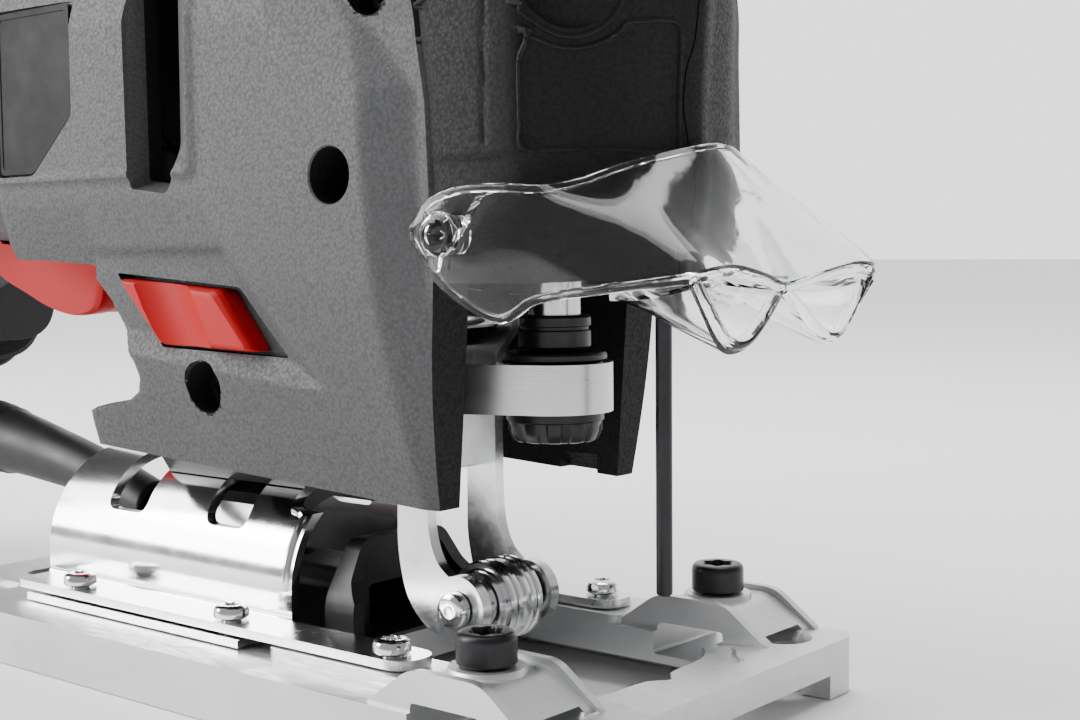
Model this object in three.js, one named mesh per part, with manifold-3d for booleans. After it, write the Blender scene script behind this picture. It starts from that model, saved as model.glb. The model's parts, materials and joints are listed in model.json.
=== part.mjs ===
// Hand-held orbital jigsaw, built as separate pieces. Millimetres, +X forward, +Y left, +Z up.
// Inside the model X is 0 at the front edge of the base plate and Z is 0 on the plate's top face.
import * as THREE from 'three';
import { mergeVertices } from 'three/addons/utils/BufferGeometryUtils.js';
import Module from 'manifold-3d';

const wasm = await Module();
wasm.setup();

// ---------- driving dimensions ----------
const GAP = 0.3; // between pieces that touch or run on each other
const plate = { length: 160, width: 75.4, thick: 8.75, runner: 8.7, channel: 3.75, corner: 3 };
const blade = { x: -31 }; // plunger and blade axis, on the centre plane
const guide = { x: -20.3, y: 28.4, barWidth: 12.4, slotLow: -3.6, slotHigh: 1.4, bossTop: 5.1 };
const bevel = { height: 6.4, radius: 18.4, wall: 1.6, front: -70.6, rear: -137.4, slotAngle: 61 };
const strip = { y: 25.2, thick: 1.4, screwX: [-41.4, -77.2, -118] };
const motor = { height: 93.5, canRadius: 21, canFront: -122, canRear: -168 };
const gearing = { toothModule: 0.7, pinionTeeth: 9, gearTeeth: 41, front: -62, thick: 6, crank: 8 };
const plunger = { radius: 4, low: 46.3, high: 112.5, restAboveCentre: 4 };
const fork = { pivotX: -50, pivotZ: 50.7, axleX: -43, axleZ: 6.5, rollerRadius: 6.5 };
const housing = { floor: 57, seam: 0.15, rear: -212 };
const pack = { front: -217.3, rear: -267, halfWidth: 37.5, low: 33, high: 147 };
const cover = { earX: -25.5, earZ: 63.5, wall: 1.6 };
const selector = { x: -72, z: 50, radius: 8.4 };

const gearHeight = motor.height
  - gearing.toothModule * (gearing.pinionTeeth + gearing.gearTeeth) / 2;
const halfPlate = plate.width / 2;
const sole = -plate.thick;

// ---------- materials ----------
const finish = (color, roughness, metalness) =>
  new THREE.MeshStandardMaterial({ color, roughness, metalness });
const shellPlastic = () => finish(0x55575a, 0.7, 0);
const blackPlastic = () => finish(0x161616, 0.5, 0);
const redPlastic = () => finish(0xe02626, 0.4, 0);
const castMetal = () => finish(0xb4b6b8, 0.45, 0.9);
const platedSteel = () => finish(0xd4d5d6, 0.25, 1);
const darkSteel = () => finish(0x232325, 0.4, 0.8);
const brushedSteel = () => finish(0xb9b9ba, 0.35, 1);
const bronze = () => finish(0xa67c45, 0.4, 1);

// ---------- solids ----------
// Makes a solid of a closed geometry, turning its faces outwards if they point in.
function solidOf(geometry) {
  geometry.deleteAttribute('normal');
  geometry.deleteAttribute('uv');
  const merged = mergeVertices(geometry, 1e-4);
  const position = merged.attributes.position;
  const corner = (i) => new THREE.Vector3().fromBufferAttribute(position, i);
  const triVerts = new Uint32Array(merged.index.array);
  let volume = 0;
  for (let i = 0; i < triVerts.length; i += 3) {
    volume += corner(triVerts[i]).dot(corner(triVerts[i + 1]).cross(corner(triVerts[i + 2])));
  }
  if (volume < 0) triVerts.reverse();
  return new wasm.Manifold(new wasm.Mesh({
    numProp: 3,
    vertProperties: new Float32Array(position.array),
    triVerts,
  }));
}

function geometryOf(solid) {
  const { vertProperties, triVerts } = solid.getMesh();
  const geometry = new THREE.BufferGeometry();
  geometry.setAttribute('position', new THREE.BufferAttribute(vertProperties, 3));
  geometry.setIndex(new THREE.BufferAttribute(triVerts, 1));
  geometry.computeVertexNormals();
  return geometry;
}

// Each plane name gives the directions of a drawing's two axes and of its extrusion.
const planes = {
  xy: [[1, 0, 0], [0, 1, 0], [0, 0, 1]],
  yz: [[0, 1, 0], [0, 0, 1], [1, 0, 0]],
  xz: [[1, 0, 0], [0, 0, 1], [0, -1, 0]],
};

function planeMatrix(plane) {
  const axes = planes[plane].map((axis) => new THREE.Vector3(...axis));
  return new THREE.Matrix4().makeBasis(...axes);
}

function shapeOf(outline) {
  return outline instanceof THREE.Shape
    ? outline
    : new THREE.Shape(outline.map(([a, b]) => new THREE.Vector2(a, b)));
}

// Extrudes an outline drawn in a plane between two places along the third axis.
function prism(plane, outline, [from, to], curveSegments = 4) {
  const shape = shapeOf(outline);
  const depth = to - from;
  const geometry = new THREE.ExtrudeGeometry(shape, { depth, bevelEnabled: false, curveSegments });
  geometry.translate(0, 0, plane === 'xz' ? -to : from);
  return solidOf(geometry.applyMatrix4(planeMatrix(plane)));
}

function block([x0, x1], [y0, y1], [z0, z1]) {
  const geometry = new THREE.BoxGeometry(x1 - x0, y1 - y0, z1 - z0);
  return solidOf(geometry.translate((x0 + x1) / 2, (y0 + y1) / 2, (z0 + z1) / 2));
}

// Turns a profile of [radius, place] pairs about an axis through a point.
function turned(axis, profile, centre = [0, 0], segments = 20) {
  const points = profile.map(([radius, place]) => new THREE.Vector2(radius, place));
  const geometry = new THREE.LatheGeometry(points, segments);
  const [a, b] = centre;
  if (axis === 'x') geometry.rotateZ(-Math.PI / 2).translate(0, a, b);
  if (axis === 'y') geometry.translate(a, 0, b);
  if (axis === 'z') geometry.rotateX(Math.PI / 2).translate(a, b, 0);
  return solidOf(geometry);
}

function rod(axis, radius, [from, to], centre, segments = 20) {
  return turned(axis, [[0, from], [radius, from], [radius, to], [0, to]], centre, segments);
}

function ring(axis, [inner, outer], [from, to], centre, segments = 20) {
  const profile = [[inner, from], [outer, from], [outer, to], [inner, to], [inner, from]];
  return turned(axis, profile, centre, segments);
}

// Joins closed rings of points into one closed skin; every ring has the same number of points.
function loft(rings) {
  const count = rings[0].length;
  const vertices = rings.flat(2);
  const index = [];
  for (let r = 0; r + 1 < rings.length; r += 1) {
    for (let i = 0; i < count; i += 1) {
      const a = r * count + i;
      const b = r * count + ((i + 1) % count);
      index.push(a, b, b + count, a, b + count, a + count);
    }
  }
  const last = (rings.length - 1) * count;
  for (let i = 1; i + 1 < count; i += 1) {
    index.push(0, i + 1, i, last, last + i, last + i + 1);
  }
  const geometry = new THREE.BufferGeometry();
  geometry.setAttribute('position', new THREE.Float32BufferAttribute(vertices, 3));
  geometry.setIndex(index);
  return solidOf(geometry);
}

const joined = (solids) => solids.reduce((whole, solid) => whole.add(solid));
const cut = (solid, tools) => tools.reduce((rest, tool) => rest.subtract(tool), solid);
const degrees = (angle) => angle * Math.PI / 180;

function roundedBox([x0, x1], [y0, y1], r) {
  const shape = new THREE.Shape();
  shape.moveTo(x0 + r, y0).lineTo(x1 - r, y0).absarc(x1 - r, y0 + r, r, -Math.PI / 2, 0);
  shape.lineTo(x1, y1 - r).absarc(x1 - r, y1 - r, r, 0, Math.PI / 2);
  shape.lineTo(x0 + r, y1).absarc(x0 + r, y1 - r, r, Math.PI / 2, Math.PI);
  shape.lineTo(x0, y0 + r).absarc(x0 + r, y0 + r, r, Math.PI, Math.PI * 1.5);
  return shape;
}

// ---------- the assembly ----------
const jigsaw = new THREE.Group();

function addPiece(name, solid, material) {
  const mesh = new THREE.Mesh(geometryOf(solid), material);
  mesh.name = name;
  jigsaw.add(mesh);
}

const sides = [['right', -1], ['left', 1]];
const spanY = (side, near, far) => [Math.min(side * near, side * far), Math.max(side * near, side * far)];

// ---------- base ----------
const windowHalf = 19;

function guideBoss(side) {
  const slope = 8;
  const trapezoid = (grow) => [
    [guide.x - 13.7 - grow, -1], [guide.x - 13.7 - grow, 0], [guide.x - 5.3 - grow, guide.bossTop + grow],
    [guide.x + 5.1 + grow, guide.bossTop + grow], [guide.x + 5.1 + slope + grow, 0],
    [guide.x + 5.1 + slope + grow, -1],
  ];
  const inner = 20.2;
  const outer = 37;
  const rim = 1.5;
  return joined([
    prism('xz', trapezoid(0), spanY(side, inner, outer)),
    prism('xz', trapezoid(0.8), spanY(side, inner, inner + rim)),
    prism('xz', trapezoid(0.8), spanY(side, outer - rim, outer)),
    rod('z', 5.2, [0, guide.bossTop + 0.6], [guide.x, side * guide.y]),
  ]);
}

function basePlate() {
  const outline = roundedBox([-plate.length, 0], [-halfPlate, halfPlate], plate.corner);
  let solid = prism('xy', outline, [sole, 0]);
  const runnerEdge = halfPlate - plate.runner;
  const channelTop = sole + plate.channel;
  const pads = sides.map(([, side]) => block([-64.2, -34], spanY(side, windowHalf, 29.6), [-1, 1.5]));
  solid = joined([solid, ...sides.map(([, side]) => guideBoss(side)), ...pads]);
  solid = cut(solid, [
    block([-plate.length + 6, 1], [-runnerEdge, runnerEdge], [sole - 1, channelTop]),
    prism('xy', roundedBox([-57, -12.5], [-windowHalf, windowHalf], 2), [sole - 1, 1]),
    rod('z', 4, [sole - 1, 1], [-90, 0]),
    block([-150, -59], [-16.5, 16.5], [-2.2, 1]),
  ]);
  for (const [, side] of sides) {
    const slotX = [guide.x - guide.barWidth / 2, guide.x + guide.barWidth / 2];
    solid = cut(solid, [
      block(slotX, spanY(side, windowHalf - 1, halfPlate + 1), [guide.slotLow, guide.slotHigh]),
      rod('z', 2.8, [0, 8], [guide.x, side * guide.y]),
      rod('z', 3, [sole - 1, 1], [-8.2, side * 28.5]),
      ...strip.screwX.map((x) => rod('z', 1.8, [-4, 2], [x, side * strip.y], 10)),
    ]);
  }
  return solid;
}

// Plated half-cylinder about the bevel axis, with two arc slots and foot flanges.
function bevelBracket() {
  const axis = [0, bevel.height];
  const inner = bevel.radius - bevel.wall;
  const foot = GAP;
  let shell = ring('x', [inner, bevel.radius], [bevel.rear, bevel.front], axis, 44);
  shell = shell.subtract(block([bevel.rear - 1, bevel.front + 1], [-30, 30], [-30, foot]));
  const flanges = sides.map(([, side]) =>
    block([bevel.rear + 12, bevel.front + 6], spanY(side, 16.6, 29.6), [foot, foot + 1.2]));
  shell = joined([shell, ...flanges]);
  const sector = (angle) => {
    const reach = 26;
    const arc = [[0, bevel.height]];
    for (let a = -angle; a <= angle; a += angle / 4) {
      arc.push([reach * Math.sin(degrees(a)), bevel.height + reach * Math.cos(degrees(a))]);
    }
    return arc.reverse();
  };
  shell = cut(shell, [
    prism('yz', sector(bevel.slotAngle), [-124, -111]),
    prism('yz', sector(bevel.slotAngle), [-96.5, -84]),
    prism('yz', sector(50), [-77, bevel.front + 1]),
    ...sides.flatMap(([, side]) => strip.screwX.map((x) => rod('z', 1.9, [-1, 3], [x, side * strip.y], 10))),
  ]);
  return shell;
}

function flangeStrip(side) {
  const low = 1.8;
  const outline = roundedBox([-133, -36], spanY(side, 20.4, 28.5), 3.5);
  const holes = strip.screwX.map((x) => rod('z', 1.9, [0, 5], [x, side * strip.y], 10));
  return cut(prism('xy', outline, [low, low + strip.thick]), holes);
}

function flangeScrew(x, side) {
  const seat = 1.8 + strip.thick + GAP;
  const profile = [[0, -3.6], [1.5, -3.6], [1.5, seat], [2.8, seat], [2.8, seat + 1.7], [2.3, seat + 2.1],
    [1.1, seat + 2.1], [1.1, seat + 0.9], [0, seat + 0.9]];
  return turned('z', profile, [x, side * strip.y], 12);
}

function capScrew(side) {
  const seat = guide.bossTop + 0.6 + GAP;
  const head = guide.bossTop + 5.4;
  const profile = [[0, 1.8], [2.4, 1.8], [2.4, seat], [4.25, seat], [4.25, head - 0.5], [3.8, head],
    [2.1, head], [2.1, head - 2.6], [0, head - 2.6]];
  return turned('z', profile, [guide.x, side * guide.y], 16);
}

// Low duct on the plate, with a raised curved mouth behind the blade.
function dustChannel() {
  const low = -2.2 + GAP;
  const outside = block([-126, -60], [-8, 8], [low, 8.6]);
  const mouth = prism('yz', [[-15, low], [15, low], [15, 6], [9, 15], [-9, 15], [-15, 6]], [-66.5, -60]);
  return cut(joined([outside, mouth]), [
    block([-127, -59], [-6.4, 6.4], [low + 1.6, 7]),
    prism('yz', [[-12, low + 1.6], [12, low + 1.6], [12, 5], [7.5, 13.2], [-7.5, 13.2], [-12, 5]],
      [-65, -59]),
    rod('z', 3.4, [-5, 12], [-90, 0], 20),
  ]);
}

// Round tube from the bracket's rear end, rising to the hose end.
function dustTube() {
  const stations = [[-129, 12.5, 5.2], [-140, 15.6, 5.4], [-155, 19, 5.6], [-172, 21.5, 6.6],
    [-184, 22.6, 7.6], [-190, 22.8, 7.9]];
  const circle = (x, z, r) => Array.from({ length: 20 }, (_, i) => {
    const a = i * Math.PI / 10;
    return [x, -r * Math.sin(a), z + r * Math.cos(a)];
  });
  const stretched = stations.map(([x, z, r], i) => [x + (i === 0 ? 1 : 0) - (i === 5 ? 1 : 0), z, r]);
  const outside = loft(stations.map(([x, z, r]) => circle(x, z, r)).reverse());
  const inside = loft(stretched.map(([x, z, r]) => circle(x, z, r - 1.6)).reverse());
  return outside.subtract(inside);
}

addPiece('base_plate', basePlate(), castMetal());
addPiece('bevel_bracket', bevelBracket(), platedSteel());
addPiece('dust_channel', dustChannel(), blackPlastic());
addPiece('dust_tube', dustTube(), blackPlastic());
for (const [word, side] of sides) {
  addPiece(`flange_strip_${word}`, flangeStrip(side), platedSteel());
  addPiece(`guide_clamp_screw_${word}`, capScrew(side), darkSteel());
  strip.screwX.forEach((x, i) => {
    addPiece(`flange_screw_${word}_${['front', 'middle', 'rear'][i]}`, flangeScrew(x, side), platedSteel());
  });
}

// ---------- housing ----------
// Outline seen from the side: nose on the right, neck behind the bracket, flat rear where the grip starts.
const sideOutline = [
  [-33.5, 24.5], [-31.2, 54], [-31, housing.floor], [-7, housing.floor], [-4.6, 68], [-4.6, 82], [-3.7, 96],
  [-4.4, 106], [-8, 113], [-16, 118.5], [-30, 121.3], [-60, 122.2], [-100, 122], [-134, 122], [-134, 60],
  [-112, 59],
  [-105.5, 53.5], [-98.5, 43], [-98.6, 37.5], [-102.5, 34.6], [-114, 32.4], [-115, 28.6],
];
// Outline seen from the front, right half, from the bottom edge up to the crown.
const frontHalf = [[24, 20], [24, 24.5], [28.4, 45], [30, 58], [30, 100], [28.6, 109], [24, 117],
  [14, 122], [0, 123.5]];
// Outline seen from above, right half, from the rear to the nose seam.
const planHalf = [[-140, 30], [-36, 30], [-31, 29], [-14, 26.5], [-10.5, 22], [-7, 13.5], [-5, 5.5],
  [-3.6, 0]];

// Body of the grip at one place along X: an oval, flattened on its flanks.
function gripRing(x, halfWidth, halfHeight, height) {
  const squareness = 0.72;
  return Array.from({ length: 28 }, (_, i) => {
    const a = i * Math.PI / 14;
    const [c, s] = [Math.cos(a), Math.sin(a)];
    return [x, -halfWidth * Math.sign(s) * Math.abs(s) ** squareness,
      height + halfHeight * Math.sign(c) * Math.abs(c) ** squareness];
  });
}

const gripStations = [[housing.rear, 34, 40, 90], [-204, 31.5, 34, 91], [-192, 28.5, 30, 92],
  [-166, 27.6, 29, 92.3], [-140, 28.8, 30, 91.6], [-124, 29, 30.4, 91], [-100, 29, 30.4, 91]];

function grip(inset) {
  const rings = gripStations.map(([x, w, h, z], i) => {
    const shift = i === 0 ? -Math.sign(inset) : 0;
    return gripRing(x + shift, w - inset, h - inset, z);
  });
  return loft(rings);
}

function gearBox() {
  const mirrored = (half) => [...half, ...half.slice(0, half.length - 1).reverse().map(([a, b]) => [-a, b])];
  const plan = [...planHalf, ...planHalf.slice(0, planHalf.length - 1).reverse().map(([a, b]) => [a, -b])];
  return prism('xz', sideOutline, [-31, 31])
    .intersect(prism('yz', mirrored(frontHalf), [-140, 0]))
    .intersect(prism('xy', plan, [20, 124]))
    .subtract(joined(sides.map(([, side]) =>
      prism('yz', [[side * 30.6, 71], [side * 24, 57.5], [side * 32, 57.5]], [-140, -107]))));
}

const slotOutline = [[-101.4, 58.1], [-90, 46.2], [-60.7, 45.4], [-70.4, 56]];
const triggerPivot = [-171, 66];

// Cross walls inside the grip that seat the motor, its rear bearing and the control board.
function motorRibs() {
  const wall = (x0, x1, radius, segments) =>
    grip(1).intersect(block([x0, x1], [-40, 40], [73, 120])).subtract(rod('x', radius, [x0 - 1, x1 + 1],
      [0, motor.height], segments));
  const boardWall = grip(1).intersect(joined(sides.map(([, side]) =>
    block([-206.8, -203.4], spanY(side, 14, 40), [72, 110]))));
  const boardSlot = block([-206.3, -203.9], [-16.3, 16.3], [73.7, 108.3]);
  return [
    wall(-195.5, -191.5, 8.3, 20),
    wall(-164, -161, motor.canRadius + GAP, 24),
    wall(-129, -126, motor.canRadius + GAP, 24),
    boardWall.subtract(boardSlot),
  ];
}

function housingSolid() {
  const hollow = [
    block([-92, -36], [-27, 27], [60, 103]),
    block([-92, -12], [-21, 21], [60, 112]),
    block([-40, -22], [-10, 10], [110, 118]),
    grip(2.8),
    block([-106, -90], [-24, 24], [66, 112]),
    block([-90, -20], [-19, 19], [10, housing.floor + GAP]),
    block([-92, -60], [-18.5, 18.5], [50, 62]),
    rod('z', 6, [50, 66], [blade.x, 0]),
    rod('z', 1.5, [50, 68], [-11, 0], 12),
    rod('y', 2.9, [-40, 40], [cover.earX, cover.earZ], 16),
    rod('x', bevel.radius + 5.2, [-120, -20], [0, bevel.height], 48),
    rod('x', 28.6, [-45.2, -37.6], [0, bevel.height], 40),
    block([-175.5, -129.5], [-10.6, 10.6], [50, 71]),
    rod('y', 1.7, [-12.8, 12.8], triggerPivot, 12),
  ];
  return joined([cut(joined([gearBox(), grip(0)]), hollow), ...motorRibs()]);
}

const screwPlaces = [[-79.8, 40.1], [-47.9, 72.2], [-42.5, 98.5], [-183, 74], [-183, 110], [-146, 111]];

function housingHalf(word, side) {
  const half = block([-300, 50], spanY(side, housing.seam, 60), [0, 200]);
  const tools = [block([-94, -84.5], spanY(side, 26, 40), [70, 104]),
    block([-131, -108.8], spanY(side, 29.1, 40), [74.5, 103])];
  let whole = housingSolid();
  if (side < 0) {
    const skin = joined([gearBox(), grip(0)]);
    const bosses = screwPlaces.map(([x, z]) => rod('y', 6.2, [-27.5, -19.4], [x, z], 10).intersect(skin));
    whole = joined([whole, ...bosses]);
    tools.push(prism('xz', slotOutline, [-40, -24.7]), block([-87.5, -78.5], [-26, -15], [48.9, 54.1]));
    screwPlaces.forEach(([x, z]) => tools.push(
      rod('y', 4.1, [-40, -21.6], [x, z], 14),
      rod('y', 1.9, [-30, -10], [x, z], 8)));
  } else {
    tools.push(rod('y', selector.radius + GAP, [22, 40], [selector.x, selector.z], 24));
    tools.push(rod('y', 3.4, [10, 40], [selector.x, selector.z], 16));
  }
  return cut(whole.intersect(half), tools);
}

addPiece('right_housing', housingHalf('right', -1), shellPlastic());
addPiece('left_housing', housingHalf('left', 1), shellPlastic());

function badgePanel(side) {
  return block([-130.6, -109.2], spanY(side, 29.4, 30.2), [74.9, 102.6]);
}
for (const [word, side] of sides) addPiece(`badge_panel_${word}`, badgePanel(side), blackPlastic());

function housingScrew([x, z]) {
  const profile = [[0, -23.6], [3.4, -23.6], [3.4, -21.9], [1.6, -21.9], [1.6, -17], [0, -17]];
  return turned('y', profile, [x, z], 10);
}
screwPlaces.forEach((place, i) => addPiece(`housing_screw_${i + 1}`, housingScrew(place), darkSteel()));

// ---------- gear frame and bevel clamp ----------
const clampX = -90;
const saddleRadius = bevel.radius + GAP;

function arcPlate(inner, outer, angle, [x0, x1], segments = 40) {
  const reach = outer + 10;
  const wedge = [[0, bevel.height]];
  for (let i = 0; i <= 6; i += 1) {
    const a = degrees(angle * (1 - i / 3));
    wedge.push([reach * Math.sin(a), bevel.height + reach * Math.cos(a)]);
  }
  return ring('x', [inner, outer], [x0, x1], [0, bevel.height], segments)
    .intersect(prism('yz', wedge, [x0 - 1, x1 + 1]));
}

// Cast frame: saddle below, post, bearing plate, and arms that carry the two plunger bushes.
function gearFrame() {
  const body = joined([
    arcPlate(saddleRadius, 22.2, 32, [-112, -76]),
    block([-86, -76], [-12, 12], [27.5, 62]),
    block([-80, -70], [-12, 12], [45, 70]),
    block([-74, -70], [-20, 20], [60.5, 104]),
    block([-74, -24], [-8, 8], [98.5, 104]),
    ...sides.map(([, side]) => block([-74, -24], spanY(side, 17.6, 20.2), [60.5, 65])),
    block([-39, -24], [-18, 18], [60.5, 65]),
    ...sides.map(([, side]) => block([-77, -46], spanY(side, 10.6, 13), [46.5, 54.5])),
    rod('x', 3, [-71, gearing.front - 0.5], [0, gearHeight]),
  ]);
  return cut(body, [
    rod('x', 5, [-76, -69], [0, motor.height]),
    rod('x', 3.6, [-80.5, -69.5], [0, motor.height]),
    rod('z', 6.5, [60, 66], [blade.x, 0]),
    rod('z', 6.5, [98, 105], [blade.x, 0]),
    rod('z', 2.5, [20, 40], [clampX, 0], 16),
    rod('y', 2.1, [-14, 14], [fork.pivotX, fork.pivotZ], 16),
  ]);
}

function bush([from, to]) {
  return ring('z', [plunger.radius + 0.1, 6.2], [from, to], [blade.x, 0]);
}

function clampScrew() {
  const head = bevel.height + 10.4;
  const seat = head + 2.2;
  const profile = [[0, head + 1.4], [1.4, head + 1.4], [1.4, head], [4, head], [4, seat], [2.2, seat],
    [2.2, 29], [0, 29]];
  return turned('z', profile, [clampX, 0], 20);
}

addPiece('gear_frame', gearFrame(), castMetal());
addPiece('lower_bush', bush([60.6, 65.4]), bronze());
addPiece('upper_bush', bush([98.4, 104.2]), bronze());
addPiece('bevel_clamp_plate', cut(arcPlate(13.6, bevel.radius - bevel.wall - GAP, 34, [-102, -78]),
  [rod('z', 2.5, [5, 40], [clampX, 0], 16)]), platedSteel());
addPiece('bevel_clamp_screw', clampScrew(), darkSteel());

// ---------- motor and gearing ----------
const motorAxis = [0, motor.height];

function rotor() {
  return turned('x', [[0, -196], [2.5, -196], [2.5, -187], [8, -187], [8, -175], [2.5, -175], [2.5, -165],
    [12.6, -165], [12.6, -125], [2.5, -125], [2.5, -69], [0, -69]], motorAxis, 24);
}

function coolingFan() {
  const blades = Array.from({ length: 7 }, (_, i) => {
    const vane = new THREE.BoxGeometry(6, 1.4, 13);
    vane.translate(-107, 0, 13.2).rotateX(degrees(i * 360 / 7)).translate(0, 0, motor.height);
    return solidOf(vane);
  });
  const disc = ring('x', [2.8, 19.8], [-105, -103.6], motorAxis);
  const hub = ring('x', [2.8, 6], [-110, -103.6], motorAxis);
  return joined([disc, hub, ...blades]);
}

// Straight-flanked teeth about a centre, seen along X.
function toothedWheel(teeth, [x0, x1], centre, turn, thin) {
  const pitch = teeth * gearing.toothModule / 2;
  const [root, tip] = [pitch - 1.2 * gearing.toothModule, pitch + 0.85 * gearing.toothModule];
  const outline = [];
  for (let i = 0; i < teeth; i += 1) {
    for (const [part, radius] of [[-0.32, root], [-0.11, tip], [0.11, tip], [0.32, root]]) {
      const a = 2 * Math.PI * (i + turn + part * thin) / teeth;
      outline.push([centre[0] + radius * Math.sin(a), centre[1] + radius * Math.cos(a)]);
    }
  }
  return prism('yz', outline, [x0, x1]);
}

const gearRear = gearing.front - gearing.thick;

function crankGear() {
  const lift = plunger.restAboveCentre;
  const pinY = Math.sqrt(gearing.crank ** 2 - lift ** 2);
  const wheel = toothedWheel(gearing.gearTeeth, [gearRear, gearing.front], [0, gearHeight], 0, 0.8);
  const pin = rod('x', 2.4, [gearing.front - 1, -47], [pinY, gearHeight + lift], 20);
  return cut(wheel, [rod('x', 3.3, [gearRear - 1, gearing.front + 1], [0, gearHeight])]).add(pin);
}

const stator = ring('x', [13.5, motor.canRadius], [motor.canRear, motor.canFront], motorAxis);
addPiece('motor_stator', stator, darkSteel());
addPiece('rotor', rotor(), darkSteel());
addPiece('cooling_fan', coolingFan(), blackPlastic());
addPiece('front_bearing', ring('x', [2.8, 8], [-80.7, -75.3], motorAxis), platedSteel());
addPiece('rear_bearing', ring('x', [2.8, 8], [-196, -191], motorAxis), platedSteel());
addPiece('pinion', toothedWheel(gearing.pinionTeeth, [gearRear - 0.5, gearing.front + 0.5], motorAxis,
  gearing.pinionTeeth / 2 + 0.5, 0.8), darkSteel());
addPiece('crank_gear', crankGear(), darkSteel());
addPiece('switch_module', block([-127, -113], [-7, 7], [65.8, 70.5]), blackPlastic());
addPiece('control_board', block([-206, -204.2], [-16, 16], [74, 108]), blackPlastic());

// ---------- plunger and blade clamp ----------
const bladeAxis = [blade.x, 0];
const yokeHeight = gearHeight + plunger.restAboveCentre;

function plungerRod() {
  const slotHalf = 2.9;
  const yoke = cut(block([-46, -42.5], [-13, 13], [yokeHeight - 5.5, yokeHeight + 5.5]),
    [block([-48, -41], [-11, 11], [yokeHeight - slotHalf, yokeHeight + slotHalf])]);
  return joined([
    rod('z', plunger.radius, [plunger.low, plunger.high], bladeAxis),
    yoke,
    block([-44, blade.x], [-2.5, 2.5], [yokeHeight + slotHalf, yokeHeight + 5.4]),
  ]);
}

// Band of the blade clamp: a thin ring that runs off straight to a folded thumb tab.
function clampLever() {
  const [low, high] = [37.1, 44.5];
  const [inner, outer] = [7.9, 8.8];
  const lean = degrees(-67.8);
  const [out, run] = [[Math.cos(lean), Math.sin(lean)], [Math.sin(lean), -Math.cos(lean)]];
  const at = (across, far) => [
    blade.x + across * out[0] + far * run[0],
    across * out[1] + far * run[1],
  ];
  const tab = [at(inner, 0), at(inner, 15.4), at(6.6, 15.4), at(6.6, 16.3), at(outer, 16.3), at(outer, 0)];
  return ring('z', [inner, outer], [low, high], bladeAxis, 24).add(prism('xy', tab, [low, high]))
    .subtract(rod('z', inner, [low - 1, high + 1], bladeAxis, 24));
}

addPiece('plunger', plungerRod(), platedSteel());
addPiece('chuck_collar', ring('z', [plunger.radius + GAP, 5.5], [46.6, 51.6], bladeAxis), darkSteel());
addPiece('clamp_ring', turned('z', [[0, 44.8], [7.9, 44.8], [7.9, 46], [0, 46]], bladeAxis), blackPlastic());
addPiece('chuck_body', turned('z', [[3.1, 32.6], [6.6, 32.6], [7.4, 33.6], [7.4, 44.5], [0, 44.5], [0, 40.5],
  [3.1, 40.5], [3.1, 32.6]], bladeAxis), darkSteel());
addPiece('clamp_lever', clampLever(), brushedSteel());

// ---------- roller fork ----------
const axle = [fork.axleX, fork.axleZ];

// One cheek: straight down from the pivot, then curving forward to the axle ear.
function forkCheek([y0, y1]) {
  const shape = new THREE.Shape();
  shape.moveTo(-55.6, 50.7).lineTo(-55.6, 16);
  shape.bezierCurveTo(-55.6, 8, -50, 1.4, axle[0], 1.4);
  shape.absarc(axle[0], axle[1], 5.1, -Math.PI / 2, Math.PI * 0.62);
  shape.bezierCurveTo(-48.5, 12, -49.4, 15, -49.4, 20);
  shape.lineTo(-49.2, 44).lineTo(-45.8, 48).absarc(fork.pivotX, fork.pivotZ, 4.6, -0.4, Math.PI * 0.9);
  return prism('xz', shape, [y0, y1], 6);
}

function rollerFork() {
  const bridge = block([-55.6, -53.6], [-9, 9], [26, 46]);
  return cut(joined([forkCheek([-9.2, -7.2]), forkCheek([7.2, 9.2]), bridge]), [
    rod('y', 2.1, [-12, 12], [fork.pivotX, fork.pivotZ], 16),
    rod('y', 1.9, [-12, 12], axle, 16),
  ]);
}

function supportRoller() {
  const r = fork.rollerRadius;
  return turned('y', [[1.9, -6.2], [3.6, -6.2], [3.6, -5.2], [5.2, -5.2], [5.2, -3.6], [r, -3.2], [r, -1.2],
    [r - 1.6, -0.6], [r - 1.6, 0.6], [r, 1.2], [r, 3.2], [5.2, 3.6], [5.2, 5.2], [3.6, 5.2], [3.6, 6.2],
    [1.9, 6.2], [1.9, -6.2]], axle, 18);
}

function rollerAxle() {
  return turned('y', [[0, -11.4], [2.75, -11.4], [2.75, -9.5], [1.6, -9.5], [1.6, 9.5], [2.75, 9.5],
    [2.75, 10.6], [0, 10.6]], axle, 20);
}

addPiece('roller_fork', rollerFork(), platedSteel());
addPiece('roller_axle', rollerAxle(), platedSteel());
addPiece('support_roller', supportRoller(), platedSteel());
addPiece('fork_pivot_pin', rod('y', 1.8, [-15.5, 15.5], [fork.pivotX, fork.pivotZ], 20), platedSteel());
addPiece('guard_rod', rod('z', 1.2, [11.3, 66], [-11, 0], 16), blackPlastic());

// ---------- chip cover ----------
// Right half of the cover's upper and lower edges, from the middle of the nose back to the ear.
const coverTop = [[-2.6, 0, 74.9], [-3.4, 6, 74.6], [-5.6, 14, 73.2], [-9.6, 22.8, 70.8], [-14, 27.3, 69],
  [-20, 28.1, 69.2], [-26, 28.9, 69.4], [-31.6, 29.8, 65]];
const coverFoot = [[8, 0, 55.7], [7.4, 12.4, 49.3], [7.6, 20.6, 55], [2, 26, 56.2], [-5, 27.4, 56.4],
  [-14, 27.8, 53.4], [-24, 28.8, 54.6], [-32, 29.8, 61.5]];

function edgeCurve(points) {
  const right = points.slice(1).reverse().map(([x, y, z]) => new THREE.Vector3(x, -y, z));
  const left = points.map((point) => new THREE.Vector3(...point));
  return new THREE.CatmullRomCurve3([...right, ...left], false, 'centripetal');
}

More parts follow.
